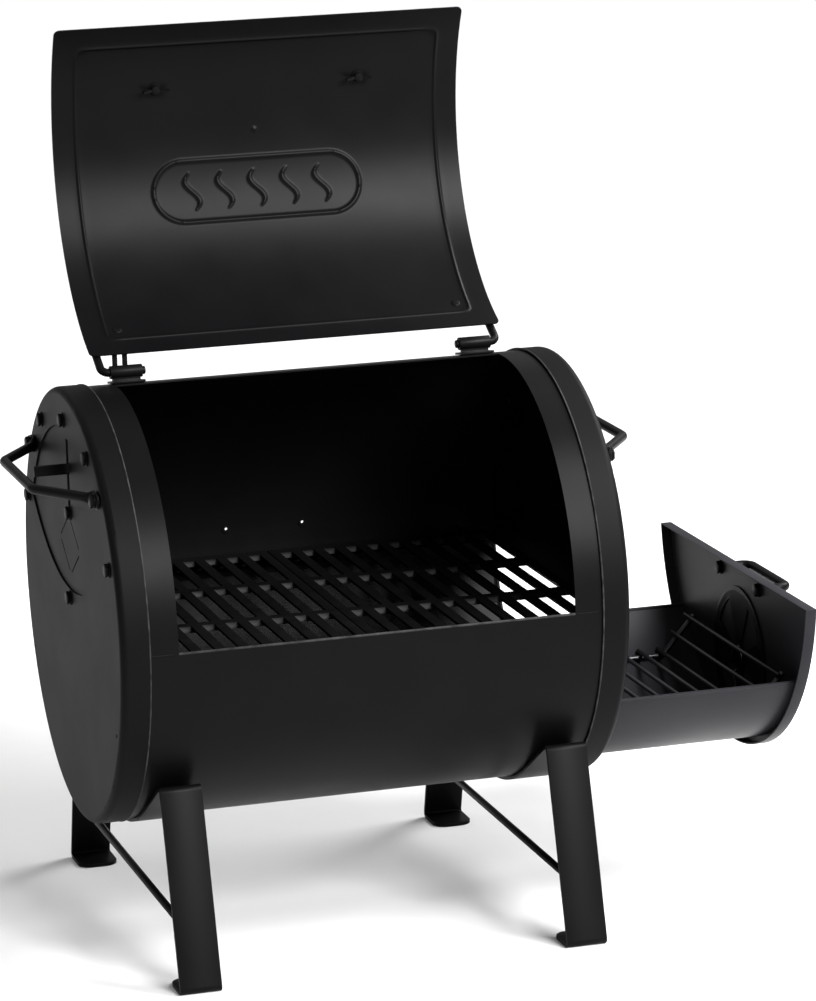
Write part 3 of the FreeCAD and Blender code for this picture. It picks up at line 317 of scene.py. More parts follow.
# the bushing's cross-section: how far from the hole's middle, and how deep in the wall
bushing_section = ((1.3, -0.9), (3.6, -0.9), (3.6, 0.1), (2.3, 0.1), (2.3, 1.4), (1.3, 1.4))
bushings = bmesh.new()
for x in hole_x:
    wall = math.sqrt((barrel_radius / mm) ** 2 - hole_height ** 2)
    seat = on_barrel(x, wall - bushing_setback, hole_height)
    ring = [bushings.verts.new(seat + Vector((out, depth, 0)) * mm)
            for out, depth in bushing_section]
    outline = bushings.faces.new(ring)
    bmesh.ops.spin(bushings, geom=[outline] + ring + list(outline.edges), cent=seat,
                   axis=(0, 1, 0), dvec=(0, 0, 0), angle=math.tau, space=Matrix(), steps=24,
                   use_duplicate=False, use_merge=True)
sections = [face for face in bushings.faces if len(face.verts) == len(bushing_section)]
bmesh.ops.delete(bushings, geom=sections, context="FACES_ONLY")
finished("accessory_hole_bushings", bushings, black_paint, "barrel", "black_paint")


# End caps. Each is a steel disc drawn to a shallow dish, whose band slips over the barrel and ends
# in a rolled hem. The left one has a lens-shaped knock-out, the right one the drawer's mouth. Their
# paint goes on thicker than on the barrel and dries duller.
cap_paint = sprayed_paint("baked_dull_stove_paint", "#060607", "#080809", 0.5, 0.54, 0.5)
painted(cap_paint, "left_end_cap", "right_end_cap")
band_outer = 183.8
cap_band = 24
cap_hem = 0.7
hems = bmesh.new()
for x in (cap_band, barrel_length / mm - cap_band):
    ring = bmesh.ops.create_circle(hems, segments=10, radius=cap_hem * mm, matrix=turned(
        DOWN, on_barrel(x, -band_outer + 0.2, 0)))["verts"]
    rim = list({edge for vert in ring for edge in vert.link_edges})
    bmesh.ops.spin(hems, geom=ring + rim, cent=on_barrel(x, 0, 0), axis=(1, 0, 0), dvec=(0, 0, 0),
                   angle=math.tau, space=Matrix(), steps=180, use_duplicate=False, use_merge=True)
# the hems wear the lighter paint, a painted highlight line round each cap's band
finished("cap_band_hems", hems, hem_highlight_paint, "barrel", "black_paint")


# Bolts. Pressed steel hexagon bolts with a rolled washer face, black oxide under the same paint.
# Each has a plain hexagon nut on the far side of the sheets that it clamps.
bolt_radius = 3
head_across = 10
head_height = 4
nut_height = 3.2
bolt_tail = 0.6
flange_radius = 6.4
flange_height = 1.1


def disc(shape, out, place, low, high, foot, top=None, segments=32, soft=0.35):
    """A round or many-sided block between two heights over a place, with soft edges."""
    block = bmesh.ops.create_cone(shape, cap_ends=True, segments=segments, radius1=foot * mm,
                                  radius2=(foot if top is None else top) * mm, depth=(high - low) * mm,
                                  matrix=turned(out, place + out * (low + high) / 2 * mm))["verts"]
    if soft:
        ends = [edge for edge in {edge for vert in block for edge in vert.link_edges}
                if any(len(face.verts) == segments for face in edge.link_faces)]
        round_off(shape, ends, soft * mm)


def bolt(shape, place, out, grip, nut=True, low_head=False):
    """A hexagon bolt seated at a place, its shank going in, and its nut."""
    hexagon = head_across / 2 / math.cos(math.pi / 6)
    if low_head:
        disc(shape, out, place, 0, 1.6, flange_radius - 1, flange_radius - 2.6, soft=0.5)
    else:
        disc(shape, out, place, 0, flange_height, flange_radius, soft=0.4)
        disc(shape, out, place, flange_height - 0.1, head_height, hexagon, segments=6, soft=0.7)
    end = -grip - (nut_height + bolt_tail if nut else 0)
    disc(shape, out, place, end, 0.1, bolt_radius, segments=20, soft=0.4)
    if nut:
        disc(shape, out, place, -grip - nut_height, -grip, hexagon, segments=6, soft=0.5)


# Black oxide and overspray: a finer mottle than on the sheet, glossy in places and dull in others.
fastener_paint = sprayed_paint("black_oxide_fastener", "#060606", "#0c0c0c", 0.34, 0.5, 0.15,
                               cloud=6)


# Blanking plate. A steel disc behind the lens-shaped knock-out in the left cap, held by six bolts.
# It has a slot for a side shelf with a bent tab in it, and a scored diamond to knock out for air.
def softened(node, name, material, body, slot, edge_round):
    """A copy of a CAD node with its sharp edges rounded."""
    shape = bmesh.new()
    shape.from_mesh(frame["nodes"][node].data)
    bmesh.ops.remove_doubles(shape, verts=shape.verts, dist=0.002 * mm)
    bmesh.ops.dissolve_limit(shape, angle_limit=math.radians(1), verts=shape.verts,
                             edges=shape.edges)
    sharp = [edge for edge in shape.edges if edge.calc_face_angle(0) > math.radians(35)]
    round_off(shape, sharp, edge_round * mm)
    return finished(name, shape, material, body, slot, node)


painted(cap_paint, "blanking_plate")
softened("blanking_tab", "side_shelf_tab", black_paint, "barrel", "black_paint", 0.4)

plate_stack = 3.1
plate_sheet = 1.6
plate_bolt_places = ((0, 158.5), (0, 7), (-86.25, 142.89), (86.25, 142.89), (-152.48, 64.46),
                     (152.48, 64.46))
plate_bolts = bmesh.new()
for back, up in plate_bolt_places:
    bolt(plate_bolts, on_barrel(0, back, up), OUT_LEFT, plate_stack)
# one more bolt by the tab, which clamps only the plate
bolt(plate_bolts, on_barrel(plate_sheet, -4.5, 80.5), OUT_LEFT, plate_sheet, nut=False)
finished("blanking_plate_bolts", plate_bolts, fastener_paint, "barrel", "black_fastener",
         "blanking_bolts")


# End handles. Each is one round steel rod bent twice, with its ends pressed flat and drilled for
# the bolts that hold it across the end cap.
rod_radius = 4.15
handle_height = 115.58
handle_bolt_half = 123.89
grip_half = 58
handle_reach = 39.5
handle_bend = 14
foot_middle = 1.7
foot_half = 8.5
foot_setback = 1.5
foot_half_width = 7.4
foot_half_sheet = 1.6
foot_bend = 10
foot_tip = 6.2
flatten_start = 7
flatten_run = 10
flatten_cuts = 12
flatten_step = 1.5
bolt_seat = 3.3
seam = 0.1


def everything(shape):
    return shape.verts[:] + shape.edges[:] + shape.faces[:]


def bent_handle(shape, bolt_half, grip_half, to_place):
    """A bent rod drawn along X over Z = 0, then moved: its feet are pressed flat."""
    foot_end = bolt_half - foot_half - foot_setback
    tip = bolt_half + foot_half
    path = [Vector((x, 0, z)) * mm for x, z in (
        (-tip, foot_middle), (-foot_end, foot_middle), (-grip_half, handle_reach),
        (grip_half, handle_reach), (foot_end, foot_middle), (tip, foot_middle))]
    before = set(shape.verts)
    swept_rod(shape, path, (foot_bend, handle_bend, handle_bend, foot_bend), rod_radius)
    # a few more rings where the rod is pressed flat
    for cut_at in range(flatten_cuts):
        place = (foot_end - flatten_start - 1 + cut_at * flatten_step) * mm
        for side in (-1, 1):
            bmesh.ops.bisect_plane(shape, geom=everything(shape), dist=1e-7,
                                   plane_co=(side * place, 0, 0), plane_no=(1, 0, 0))
    own = [vert for vert in shape.verts if vert not in before]
    for vert in own:
        flat = min(1, max(0, (abs(vert.co.x) / mm - foot_end + flatten_start) / flatten_run))
        flat = flat * flat * (3 - 2 * flat)
        past_bolt = max(0, (abs(vert.co.x) / mm - bolt_half - 3) / foot_tip)
        rounded = math.sqrt(max(0, 1 - past_bolt ** 2))
        wide = 1 + flat * (foot_half_width / rod_radius - 1)
        thin = 1 + flat * (foot_half_sheet / rod_radius - 1)
        vert.co.y *= wide * max(rounded, 0.25)
        if flat > 0 and abs(vert.co.x) / mm > foot_end - flatten_start:
            middle = max(foot_middle, foot_middle + (foot_end - abs(vert.co.x) / mm)
                         * (handle_reach - foot_middle) / (foot_end - grip_half)) * mm
            vert.co.z = middle + (vert.co.z - middle) * thin
        vert.co.z = max(vert.co.z, seam * mm)
    bmesh.ops.transform(shape, matrix=to_place, verts=own)


end_bolts = bmesh.new()
for name, x, out, grip in (("left_end_handle", 0, OUT_LEFT, 6.4),
                           ("right_end_handle", 432, OUT_RIGHT, 4.8)):
    handle = bmesh.new()
    across = Matrix((BACK, out.cross(BACK), out)).transposed().to_4x4()
    bent_handle(handle, handle_bolt_half, grip_half,
                Matrix.Translation(on_barrel(x, 0, handle_height)) @ across)
    finished(f"{name}_rod", handle, black_paint, "barrel", "black_paint", name)
    for side in (-1, 1):
        foot = on_barrel(x, side * handle_bolt_half, handle_height)
        bolt(end_bolts, foot + out * bolt_seat * mm, out, grip)
finished("end_handle_hex_bolts", end_bolts, fastener_paint, "barrel", "black_fastener",
         "end_handle_bolts")


# Hinge brackets and lid stop. Each bracket is a short tube welded on a web and a plate, behind the
# window. The stop is a small forked strap that the open lid leans on.
softened("left_hinge_bracket", "left_hinge_tube", black_paint, "barrel", "black_paint", 0.5)
softened("right_hinge_bracket", "right_hinge_tube", black_paint, "barrel", "black_paint", 0.5)
softened("lid_stop", "lid_stop_fork", black_paint, "barrel", "black_paint", 0.3)


# Lid. Sheet steel with a stiffening bead pressed round its edge and a steam badge pressed in the
# middle, rolled to the barrel's curve. It is painted on both sides.
lid_left = 35.2
lid_right = 396.8
lid_front_angle = -3.5
lid_rear_angle = 95.4
lid_outer = 183.7
lid_sheet = 1.2
lid_corner = 5
bead_inset = 20.3
bead_corner = 7
bead_half_width = 2.1
bead_height = 1.1
badge_x = 212.5
badge_angle = 44.5
badge_half_length = 92
badge_half_height = 27
badge_height = 1.5
badge_rim_half_width = 2.6
plume_pitch = 29
plume_half_height = 17
plume_half_width = 3.2
plume_sway = 6
plume_wave = 0.17
pip_x = 213.4
pip_angle = 28.7
pip_height = 1.3
pip_radius = 3.5
lid_arc = math.radians(lid_rear_angle - lid_front_angle) * lid_outer
lid_hinge = next(joint for joint in frame["joints"] if joint["name"] == "lid_hinge")
hinge = Vector(lid_hinge["pos_m"])
lid_open = (Matrix.Translation(hinge)
            @ Matrix.Rotation(math.radians(-lid_hinge["range_deg"][1]), 4, "X")
            @ Matrix.Translation(-hinge))


def along_arc(front_angle):
    """How far round the lid's sheet an angle lies, from its front edge."""
    return math.radians(front_angle - lid_front_angle) * lid_outer


def hump(distance, half_width):
    """The height of a pressed bead, from 1 on its middle line to 0 beside it."""
    share = min(1, abs(distance) / half_width)
    return (1 + math.cos(math.pi * share)) / 2


def round_box(x, y, half_x, half_y, corner):
    """The distance outside a rectangle with round corners."""
    over_x, over_y = abs(x) - half_x + corner, abs(y) - half_y + corner
    return math.hypot(max(over_x, 0), max(over_y, 0)) + min(max(over_x, over_y), 0) - corner


def pressed(x, arc):
    """How far the lid's sheet is pressed inwards, in millimetres."""
    middle_x, middle_arc = (lid_left + lid_right) / 2, lid_arc / 2
    edge = round_box(x - middle_x, arc - middle_arc, (lid_right - lid_left) / 2 - bead_inset,
                     lid_arc / 2 - bead_inset, bead_corner)
    depth = bead_height * hump(edge, bead_half_width)
    across, down = x - badge_x, arc - along_arc(badge_angle)
    rim = round_box(across, down, badge_half_length, badge_half_height, badge_half_height)
    depth += badge_height * hump(rim, badge_rim_half_width)
    for plume in range(-2, 3):
        lean = across - plume * plume_pitch - plume_sway * math.sin(down * plume_wave)
        if abs(down) < plume_half_height:
            taper = math.cos(down / plume_half_height * math.pi / 2)
            depth += badge_height * hump(lean, plume_half_width * taper + 0.8)
    depth += pip_height * hump(math.hypot(x - pip_x, arc - along_arc(pip_angle)), pip_radius)
    return depth


def cut_lines(stops, spacing):
    """Where to cut a sheet: each stretch from stop to stop is cut at its own spacing."""
    lines = []
    for start, end, step in zip(stops, stops[1:], spacing):
        count = max(1, round((end - start) / step))
        lines += [start + (end - start) * number / count for number in range(count)]
    return lines[1:]


lid_panel = bmesh.new()
corners = [lid_panel.verts.new((x, y, 0)) for x, y in (
    (lid_left, 0), (lid_right, 0), (lid_right, lid_arc), (lid_left, lid_arc))]
lid_panel.faces.new(corners)
bmesh.ops.bevel(lid_panel, geom=corners, offset=lid_corner, segments=5, profile=0.5, material=-1,
                affect="VERTICES")
bead_near, bead_far = bead_inset - 2.4, bead_inset + 2.4
badge_margin = 4
badge_left = badge_x - badge_half_length - badge_margin
badge_right = badge_x + badge_half_length + badge_margin
badge_low = along_arc(badge_angle) - badge_half_height - badge_margin
badge_high = along_arc(badge_angle) + badge_half_height + badge_margin
pip_low, pip_high = along_arc(pip_angle) - 4, along_arc(pip_angle) + 4
lines_along = cut_lines((lid_left, lid_left + bead_near, lid_left + bead_far, badge_left, badge_right,
                         lid_right - bead_far, lid_right - bead_near, lid_right),
                        (4, 0.7, 5, 1.15, 5, 0.7, 4))
lines_round = cut_lines((0, bead_near, bead_far, pip_low, pip_high, badge_low, badge_high,
                         lid_arc - bead_far, lid_arc - bead_near, lid_arc),
                        (3, 0.7, 3, 1, 3, 1.15, 3, 0.7, 3))
for normal, lines in ((OUT_RIGHT, lines_along), (BACK, lines_round)):
    for line in lines:
        bmesh.ops.bisect_plane(lid_panel, geom=everything(lid_panel), dist=1e-5,
                               plane_co=normal * line, plane_no=normal)
under = bmesh.ops.duplicate(lid_panel, geom=everything(lid_panel))["geom"]
inner = {part for part in under if isinstance(part, bmesh.types.BMVert)}
for vert in lid_panel.verts:
    x, arc = vert.co.x, vert.co.y
    radius = lid_outer - pressed(x, arc) - (lid_sheet if vert in inner else 0)
    vert.co = lid_open @ round_axis(radius, lid_front_angle + math.degrees(arc / lid_outer), x)
rims = [edge for edge in lid_panel.edges if edge.is_boundary]
bmesh.ops.bridge_loops(lid_panel, edges=rims)
finished("rolled_lid", lid_panel, black_paint, "lid", "black_paint", "lid_panel", crease=50)


# Hinge arms. Each is a rod bent twice: it turns in the tube, runs out past the lid's side and back
# in to an eye, which is riveted to the lid.
arm_rod = 3.5
arm_bend = 6.5
tube_end = 79.5
arm_x = 42.3
eye_x = 66
eye_angle = 85.3
eye_height = 4
eye_radius = 7
arm_gap = 0.5
eye_flat_half = 9.5


def own_side(x, mirrored):
    """An x on the left, or its mirror image on the right."""
    return barrel_length / mm - x if mirrored else x


rivets = bmesh.new()
for name, mirrored in (("left_hinge_arm", False), ("right_hinge_arm", True)):
    arm = bmesh.new()
    over_lid = round_axis(lid_outer + arm_rod + arm_gap, eye_angle, 0)
    path = [hinge.copy(), hinge.copy(), over_lid.copy(), over_lid.copy()]
    for point, x in zip(path, (tube_end, arm_x, arm_x, eye_x + eye_radius - 1)):
        point.x = on_barrel(own_side(x, mirrored), 0, 0).x
    swept_rod(arm, path, (arm_bend, arm_bend), arm_rod, segments=20)
    out = outward(eye_angle)
    seat = round_axis(lid_outer + seam, eye_angle, own_side(eye_x, mirrored))
    # the end of the rod is pressed flat on the lid
    for vert in arm.verts:
        lift = (vert.co - seat).dot(out)
        if abs(vert.co.x - seat.x) < eye_flat_half * mm:
            vert.co += out * (min(max(lift, 0), eye_height * mm) - lift)
    disc(arm, out, seat, 0, eye_height, eye_radius, segments=40, soft=0.7)
    bmesh.ops.transform(arm, matrix=lid_open, verts=arm.verts)
    finished(f"{name}_rod", arm, black_paint, "lid", "black_paint", name)
    disc(rivets, out, seat + out * (eye_height + seam) * mm, 0, 2.6, 5.4, 3.4, soft=0.9)
    disc(rivets, out, seat, -1.4, eye_height, bolt_radius, segments=20, soft=0.3)
    disc(rivets, -out, seat - out * 1.35 * mm, 0, 0.9, 4.2, 3.2, soft=0.5)
bmesh.ops.transform(rivets, matrix=lid_open, verts=rivets.verts)
finished("hinge_arm_rivets", rivets, fastener_paint, "lid", "black_fastener", "hinge_arm_bolts")


# Lid handle. A bent rod with flat feet like the end handles, held by two bolts whose wing nuts are
# inside the lid.
lid_handle_angle = 15.8
lid_handle_half = 90.5
lid_grip_half = 62
out = outward(lid_handle_angle)
handle = bmesh.new()
across = Matrix((OUT_RIGHT, out.cross(OUT_RIGHT), out)).transposed().to_4x4()
lid_middle = barrel_length / mm / 2
seat = Matrix.Translation(round_axis(lid_outer, lid_handle_angle, lid_middle))
bent_handle(handle, lid_handle_half, lid_grip_half, lid_open @ seat @ across)
finished("lid_handle_rod", handle, black_paint, "lid", "black_paint", "lid_handle")

wing_hub = 4.8
# each wing at its root and at its tip: how far out, how thick, and how high its two edges stand
wing_root = (3.4, 2.4, 1.4, 4.8)
wing_tip = (12, 1.7, 3.4, 9.5)
lid_bolts, wing_nuts = bmesh.new(), bmesh.new()
for side in (-1, 1):
    foot = round_axis(lid_outer, lid_handle_angle, lid_middle + side * lid_handle_half)
    bolt(lid_bolts, foot + out * 3.4 * mm, out, 4.7 + 5 + bolt_tail, nut=False)
    under = foot - out * 1.35 * mm
    disc(wing_nuts, -out, under, 0, 1.2, wing_hub + 0.6, soft=0.3)
    disc(wing_nuts, -out, under, 1, 5.2, wing_hub, wing_hub - 1, soft=0.6)
    nut_seat = turned(-out, under)
    for wing in (-1, 1):
        blade = bmesh.ops.create_cube(wing_nuts, size=1, matrix=nut_seat)["verts"]
        own = list({edge for vert in blade for edge in vert.link_edges})
        for vert in blade:
            local = nut_seat.inverted() @ vert.co
            reach, thick, low, high = wing_root if local.x * wing < 0 else wing_tip
            local = Vector((wing * reach, thick * (0.5 if local.y > 0 else -0.5),
                            low if local.z < 0 else high))
            vert.co = nut_seat @ (local * mm)
        tips = []
        for edge in own:
            start, end = [nut_seat.inverted() @ vert.co for vert in edge.verts]
            if min(start.x * wing, end.x * wing) > 10 * mm and abs(start.y - end.y) > 1 * mm:
                tips.append(edge)
        round_off(wing_nuts, tips, 2.4 * mm, segments=4)
for group, name, node in ((lid_bolts, "lid_handle_hex_bolts", "lid_handle_bolts"),
                          (wing_nuts, "lid_handle_wing_nuts", "lid_wing_nuts")):
    bmesh.ops.transform(group, matrix=lid_open, verts=group.verts)
    finished(name, group, fastener_paint, "lid", "black_fastener", node)


# Legs. Each pair is one flat steel strap bent under the barrel and out to two flat feet, bolted to
# the barrel at its lowest line. A round rod between the two legs stiffens them.
for name in ("left_leg", "right_leg"):
    softened(name, f"{name}_strap", black_paint, "barrel", "black_paint", 0.5)
leg_bolt_x = (41.5, 59.5, 372.5, 390.5)
leg_bolt_seat = -185.4
leg_stack = 4.9
leg_heads = bmesh.new()
for x in leg_bolt_x:
    bolt(leg_heads, on_barrel(x, 0, leg_bolt_seat), DOWN, leg_stack, low_head=True)
finished("leg_hex_bolts", leg_heads, fastener_paint, "barrel", "black_fastener", "leg_bolts")
for name in ("left_leg_brace", "right_leg_brace"):
    low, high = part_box(name)
    middle = (low + high) / 2
    brace = bmesh.new()
    swept_rod(brace, [Vector((middle.x, low.y, middle.z)), Vector((middle.x, high.y, middle.z))], (),
              (high.z - low.z) / 2 / mm, segments=20)
    finished(f"{name}_rod", brace, black_paint, "barrel", "black_paint", name)


# Cooking grates. Two cast-iron plates side by side, each with three rows of slots whose ends slope,
# so that they draw from the mould. They are cast in green sand and dipped in black enamel paint.
slot_pitch = 19.9
slot_width = 10.1
slots_in_row = 10
cross_rib_middle = 58
cross_rib_half = 5
end_rib = 12
end_draft = 3.4
side_draft = 3.0
bar_relief = 2.6

# Sand-cast iron: dull black with a fine grain from the sand and a slight sheen on the bar tops.
cast_iron = blank_material("sand_cast_iron_black_dip")
spot = add(cast_iron, "ShaderNodeTexCoord").outputs["Object"]
drift = add(cast_iron, "ShaderNodeTexNoise", [(spot, "Vector")], Scale=1 / (14 * mm), Detail=3.0)
tone = add(cast_iron, "ShaderNodeValToRGB", [(drift.outputs["Fac"], "Fac")])
tone.color_ramp.elements[0].color = linear("#030303")
tone.color_ramp.elements[1].color = linear("#070707")
gloss = add(cast_iron, "ShaderNodeMapRange", [(drift.outputs["Fac"], "Value")],
            To_Min=0.4, To_Max=0.6)
# moulding sand is about 0.3 mm, drawn at 1 mm so that it shows
sand = add(cast_iron, "ShaderNodeTexNoise", [(spot, "Vector")], Scale=1 / (1.0 * mm), Detail=4.0)
relief = add(cast_iron, "ShaderNodeBump", [(sand.outputs["Fac"], "Height")], Strength=0.5,
             Distance=0.2 * mm)
coat = add(cast_iron, "ShaderNodeBsdfPrincipled",
           [(tone.outputs["Color"], "Base Color"), (gloss.outputs["Result"], "Roughness"),
            (relief.outputs["Normal"], "Normal")], Specular_IOR_Level=0.1, IOR=1.5)
add(cast_iron, "ShaderNodeOutputMaterial", [(coat.outputs["BSDF"], "Surface")])

for name in ("left_cooking_grate", "right_cooking_grate"):
    low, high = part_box(name)
    edge = (high.x - low.x - ((slots_in_row - 1) * slot_pitch + slot_width) * mm) / 2
    slot_sides = [low.x + edge + number * slot_pitch * mm + side * slot_width * mm
                  for number in range(slots_in_row) for side in (0, 1)]
    row_ends = [low.y + end_rib * mm] + [
        (side * cross_rib_middle + half * cross_rib_half) * mm for side in (-1, 1) for half in (-1, 1)
    ] + [high.y - end_rib * mm]
    grate = bmesh.new()
    corners = [grate.verts.new((x, y, high.z)) for x, y in (
        (low.x, low.y), (high.x, low.y), (high.x, high.y), (low.x, high.y))]
    grate.faces.new(corners)
    for normal, lines in (((1, 0, 0), slot_sides), ((0, 1, 0), row_ends)):
        for line in lines:
            bmesh.ops.bisect_plane(grate, geom=everything(grate), dist=1e-6,
                                   plane_co=Vector(normal) * line, plane_no=normal)
    holes = []
    for face in grate.faces:
        middle = face.calc_center_median()
        in_slot = sum(side < middle.x for side in slot_sides) % 2 == 1
        in_row = sum(end < middle.y for end in row_ends) % 2 == 1
        if in_slot and in_row:
            holes.append(face)
    bmesh.ops.delete(grate, geom=holes, context="FACES_ONLY")
    below = bmesh.ops.extrude_face_region(grate, geom=grate.faces[:])["geom"]
    foot = [part for part in below if isinstance(part, bmesh.types.BMVert)]
    bmesh.ops.translate(grate, vec=(0, 0, low.z - high.z), verts=foot)
    # each slot's lower corners move out, so that its four walls slope
    for vert in foot:
        side = min(range(len(slot_sides)), key=lambda number: abs(slot_sides[number] - vert.co.x))
        end = min(range(len(row_ends)), key=lambda number: abs(row_ends[number] - vert.co.y))
        if abs(slot_sides[side] - vert.co.x) < 1e-5 and abs(row_ends[end] - vert.co.y) < 1e-5:
            vert.co.x += side_draft * mm * (1 if side % 2 else -1)
            vert.co.y += end_draft * mm * (-1 if end % 2 else 1)
            vert.co.z += bar_relief * mm
    sharp = [edge for edge in grate.edges if edge.calc_face_angle(0) > math.radians(30)]
    round_off(grate, sharp, 0.8 * mm)
    body = "left_grate" if name.startswith("left") else "right_grate"
    finished(f"{name}_casting", grate, cast_iron, body, "cast_grate", name)


# Charcoal drawer. A rolled trough with a rolled rim, welded behind a D-shaped front panel whose
# edge is folded inwards. Both are black like the barrel, but wear a greyer, lighter and smoother copy
# of its paint: painted light that makes them brighter than the barrel.
drawer_lightened_paint = sprayed_paint("painted_light_grey_drawer_paint", "#1f1f22", "#252528", 0.36, 0.42, 0.2)
painted(drawer_lightened_paint, "drawer_trough", "drawer_skids")
trough_low, trough_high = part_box("drawer_trough")
rim_roll = 1.5
trough_wall = 170.9
trough_edge_drop = 90
rolls = bmesh.new()
for side in (-1, 1):
    half = math.sqrt(trough_wall ** 2 - trough_edge_drop ** 2) - rim_roll + 0.6
    ends = [Vector((x, side * half * mm, trough_high.z - rim_roll * mm))
            for x in (trough_low.x + 1 * mm, trough_high.x - 1 * mm)]
    swept_rod(rolls, ends, (), rim_roll, segments=16)
finished("trough_rolled_rims", rolls, drawer_lightened_paint, "drawer", "black_paint")

panel_low, panel_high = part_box("drawer_panel")
panel_radius = 178.3
panel_sheet = 1.5
panel_bead_inset = 9
panel_bead_half = 1.6
panel_bead_height = 1.4
damper_z = -104
vent_inner = 14
vent_outer = 52
vent_angle = 40


def cut_away(shape, tools):
    """Cuts tools out of a bmesh with an exact boolean, and returns the result."""
    halves = []
    for part in (shape, tools):
        bmesh.ops.recalc_face_normals(part, faces=part.faces)
        half = bpy.data.objects.new("half", bpy.data.meshes.new("half"))
        part.to_mesh(half.data)
        part.free()
        bpy.context.scene.collection.objects.link(half)
        halves.append(half)
    cutter = halves[0].modifiers.new("cut", "BOOLEAN")
    cutter.operation = "DIFFERENCE"
    cutter.solver = "EXACT"
    cutter.object = halves[1]
    bpy.context.view_layer.update()
    result = bmesh.new()
    result.from_object(halves[0], bpy.context.evaluated_depsgraph_get())
    for half in halves:
        mesh = half.data
        bpy.data.objects.remove(half)
        bpy.data.meshes.remove(mesh)
    return result


def vent_tools(x, turns, depth):
    """The solids of four butterfly openings round the damper's pivot."""
    tools = bmesh.new()
    for turn in turns:
        start = math.radians(turn - vent_angle / 2)
        ray = Vector((0, math.sin(start), math.cos(start)))
        near, far = [tools.verts.new(ray * radius * mm) for radius in (vent_inner, vent_outer)]
        edge = tools.edges.new((near, far))
        bmesh.ops.spin(tools, geom=[near, far, edge], cent=(0, 0, 0), axis=(-1, 0, 0), dvec=(0, 0, 0),
                       angle=math.radians(vent_angle), space=Matrix(), steps=10, use_duplicate=False)
    wall = bmesh.ops.extrude_face_region(tools, geom=tools.faces[:])["geom"]
    moved = [part for part in wall if isinstance(part, bmesh.types.BMVert)]
    bmesh.ops.translate(tools, vec=(depth * mm, 0, 0), verts=moved)
    bmesh.ops.translate(tools, vec=(x, 0, axis_height + damper_z * mm), verts=tools.verts)
    bmesh.ops.remove_doubles(tools, verts=tools.verts, dist=1e-7)
    return tools


panel = bmesh.new()
bmesh.ops.create_circle(panel, cap_ends=True, segments=160, radius=panel_radius * mm,
                        matrix=turned(OUT_RIGHT, Vector((panel_high.x, 0, axis_height))))
bmesh.ops.bisect_plane(panel, geom=everything(panel), dist=1e-6, plane_co=(0, 0, panel_high.z),
                       plane_no=(0, 0, 1), clear_outer=True)
bmesh.ops.remove_doubles(panel, verts=panel.verts, dist=2 * mm)
wall = bmesh.ops.extrude_face_region(panel, geom=panel.faces[:])["geom"]
back = [part for part in wall if isinstance(part, bmesh.types.BMFace)]
bmesh.ops.translate(panel, vec=(panel_low.x - panel_high.x, 0, 0),
                    verts=list({vert for part in back for vert in part.verts}))
panel.normal_update()
bmesh.ops.inset_individual(panel, faces=back, thickness=panel_sheet * mm, depth=0,
                           use_even_offset=False)
floor_faces = bmesh.ops.extrude_face_region(panel, geom=back)["geom"]
moved = [part for part in floor_faces if isinstance(part, bmesh.types.BMVert)]
bmesh.ops.translate(panel, vec=(panel_high.x - panel_low.x - panel_sheet * mm, 0, 0), verts=moved)
inner_floor = [part for part in floor_faces if isinstance(part, bmesh.types.BMFace)]
bmesh.ops.delete(panel, geom=[part for part in back if part.is_valid], context="FACES_ONLY")
panel.normal_update()
# a flat border, and then the two slopes of the pressed bead
for thickness, depth in ((panel_bead_inset - panel_sheet - 2, 0),
                         (panel_bead_half, panel_bead_height),
                         (panel_bead_half, -panel_bead_height)):
    bmesh.ops.inset_individual(panel, faces=inner_floor, thickness=thickness * mm, depth=depth * mm,
                               use_even_offset=False)
panel.normal_update()
outer_rim = [edge for edge in panel.edges if edge.calc_face_angle(0) > math.radians(50)]
round_off(panel, outer_rim, 0.6 * mm, segments=3)
panel = cut_away(panel, vent_tools(panel_high.x - 4 * mm, (0, 90, 180, 270), 8))
finished("drawer_front_panel", panel, drawer_lightened_paint, "drawer", "black_paint", "drawer_panel")


# Drawer handle. A U of the same rod, drilled and tapped in its ends, and held by two bolts from
# inside the panel.
drawer_bolt_half = 46
drawer_bolt_z = -34
drawer_grip = 26
drawer_bend = 9
drawer_bolt_setback = 1.6


def on_panel(x, side):
    """A point level with one of the handle's two ends."""
    return Vector((x, side * drawer_bolt_half * mm, axis_height + drawer_bolt_z * mm))


face_x = panel_high.x + seam * mm
grip_x = panel_high.x + drawer_grip * mm
handle = bmesh.new()
swept_rod(handle, [on_panel(face_x, -1), on_panel(grip_x, -1), on_panel(grip_x, 1),
                   on_panel(face_x, 1)], (drawer_bend, drawer_bend), rod_radius)
finished("drawer_handle_rod", handle, black_paint, "drawer", "black_paint", "drawer_handle")
drawer_bolts = bmesh.new()
for side in (-1, 1):
    seat = on_panel(panel_high.x - drawer_bolt_setback * mm, side)
    bolt(drawer_bolts, seat, OUT_LEFT, 10, nut=False)
finished("drawer_handle_hex_bolts", drawer_bolts, fastener_paint, "drawer", "black_fastener",
         "drawer_handle_bolts")


# Damper. A steel disc with four butterfly openings turns behind the panel's own four, on one bolt
# with a washer and a coil spring that keeps it from rattling.
disc_low, disc_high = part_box("damper_disc")
damper_radius = (disc_high.y - disc_low.y) / 2 / mm
pivot = Vector(((disc_low.x + disc_high.x) / 2, 0, axis_height + damper_z * mm))
plate = bmesh.new()
half_sheet = (disc_high.x - disc_low.x) / 2 / mm
bmesh.ops.create_cone(plate, cap_ends=True, segments=96, radius1=damper_radius * mm,
                      radius2=damper_radius * mm, depth=2 * half_sheet * mm,
                      matrix=turned(OUT_LEFT, pivot))
inside = [part for part in plate.faces if part.normal.x < -0.9]
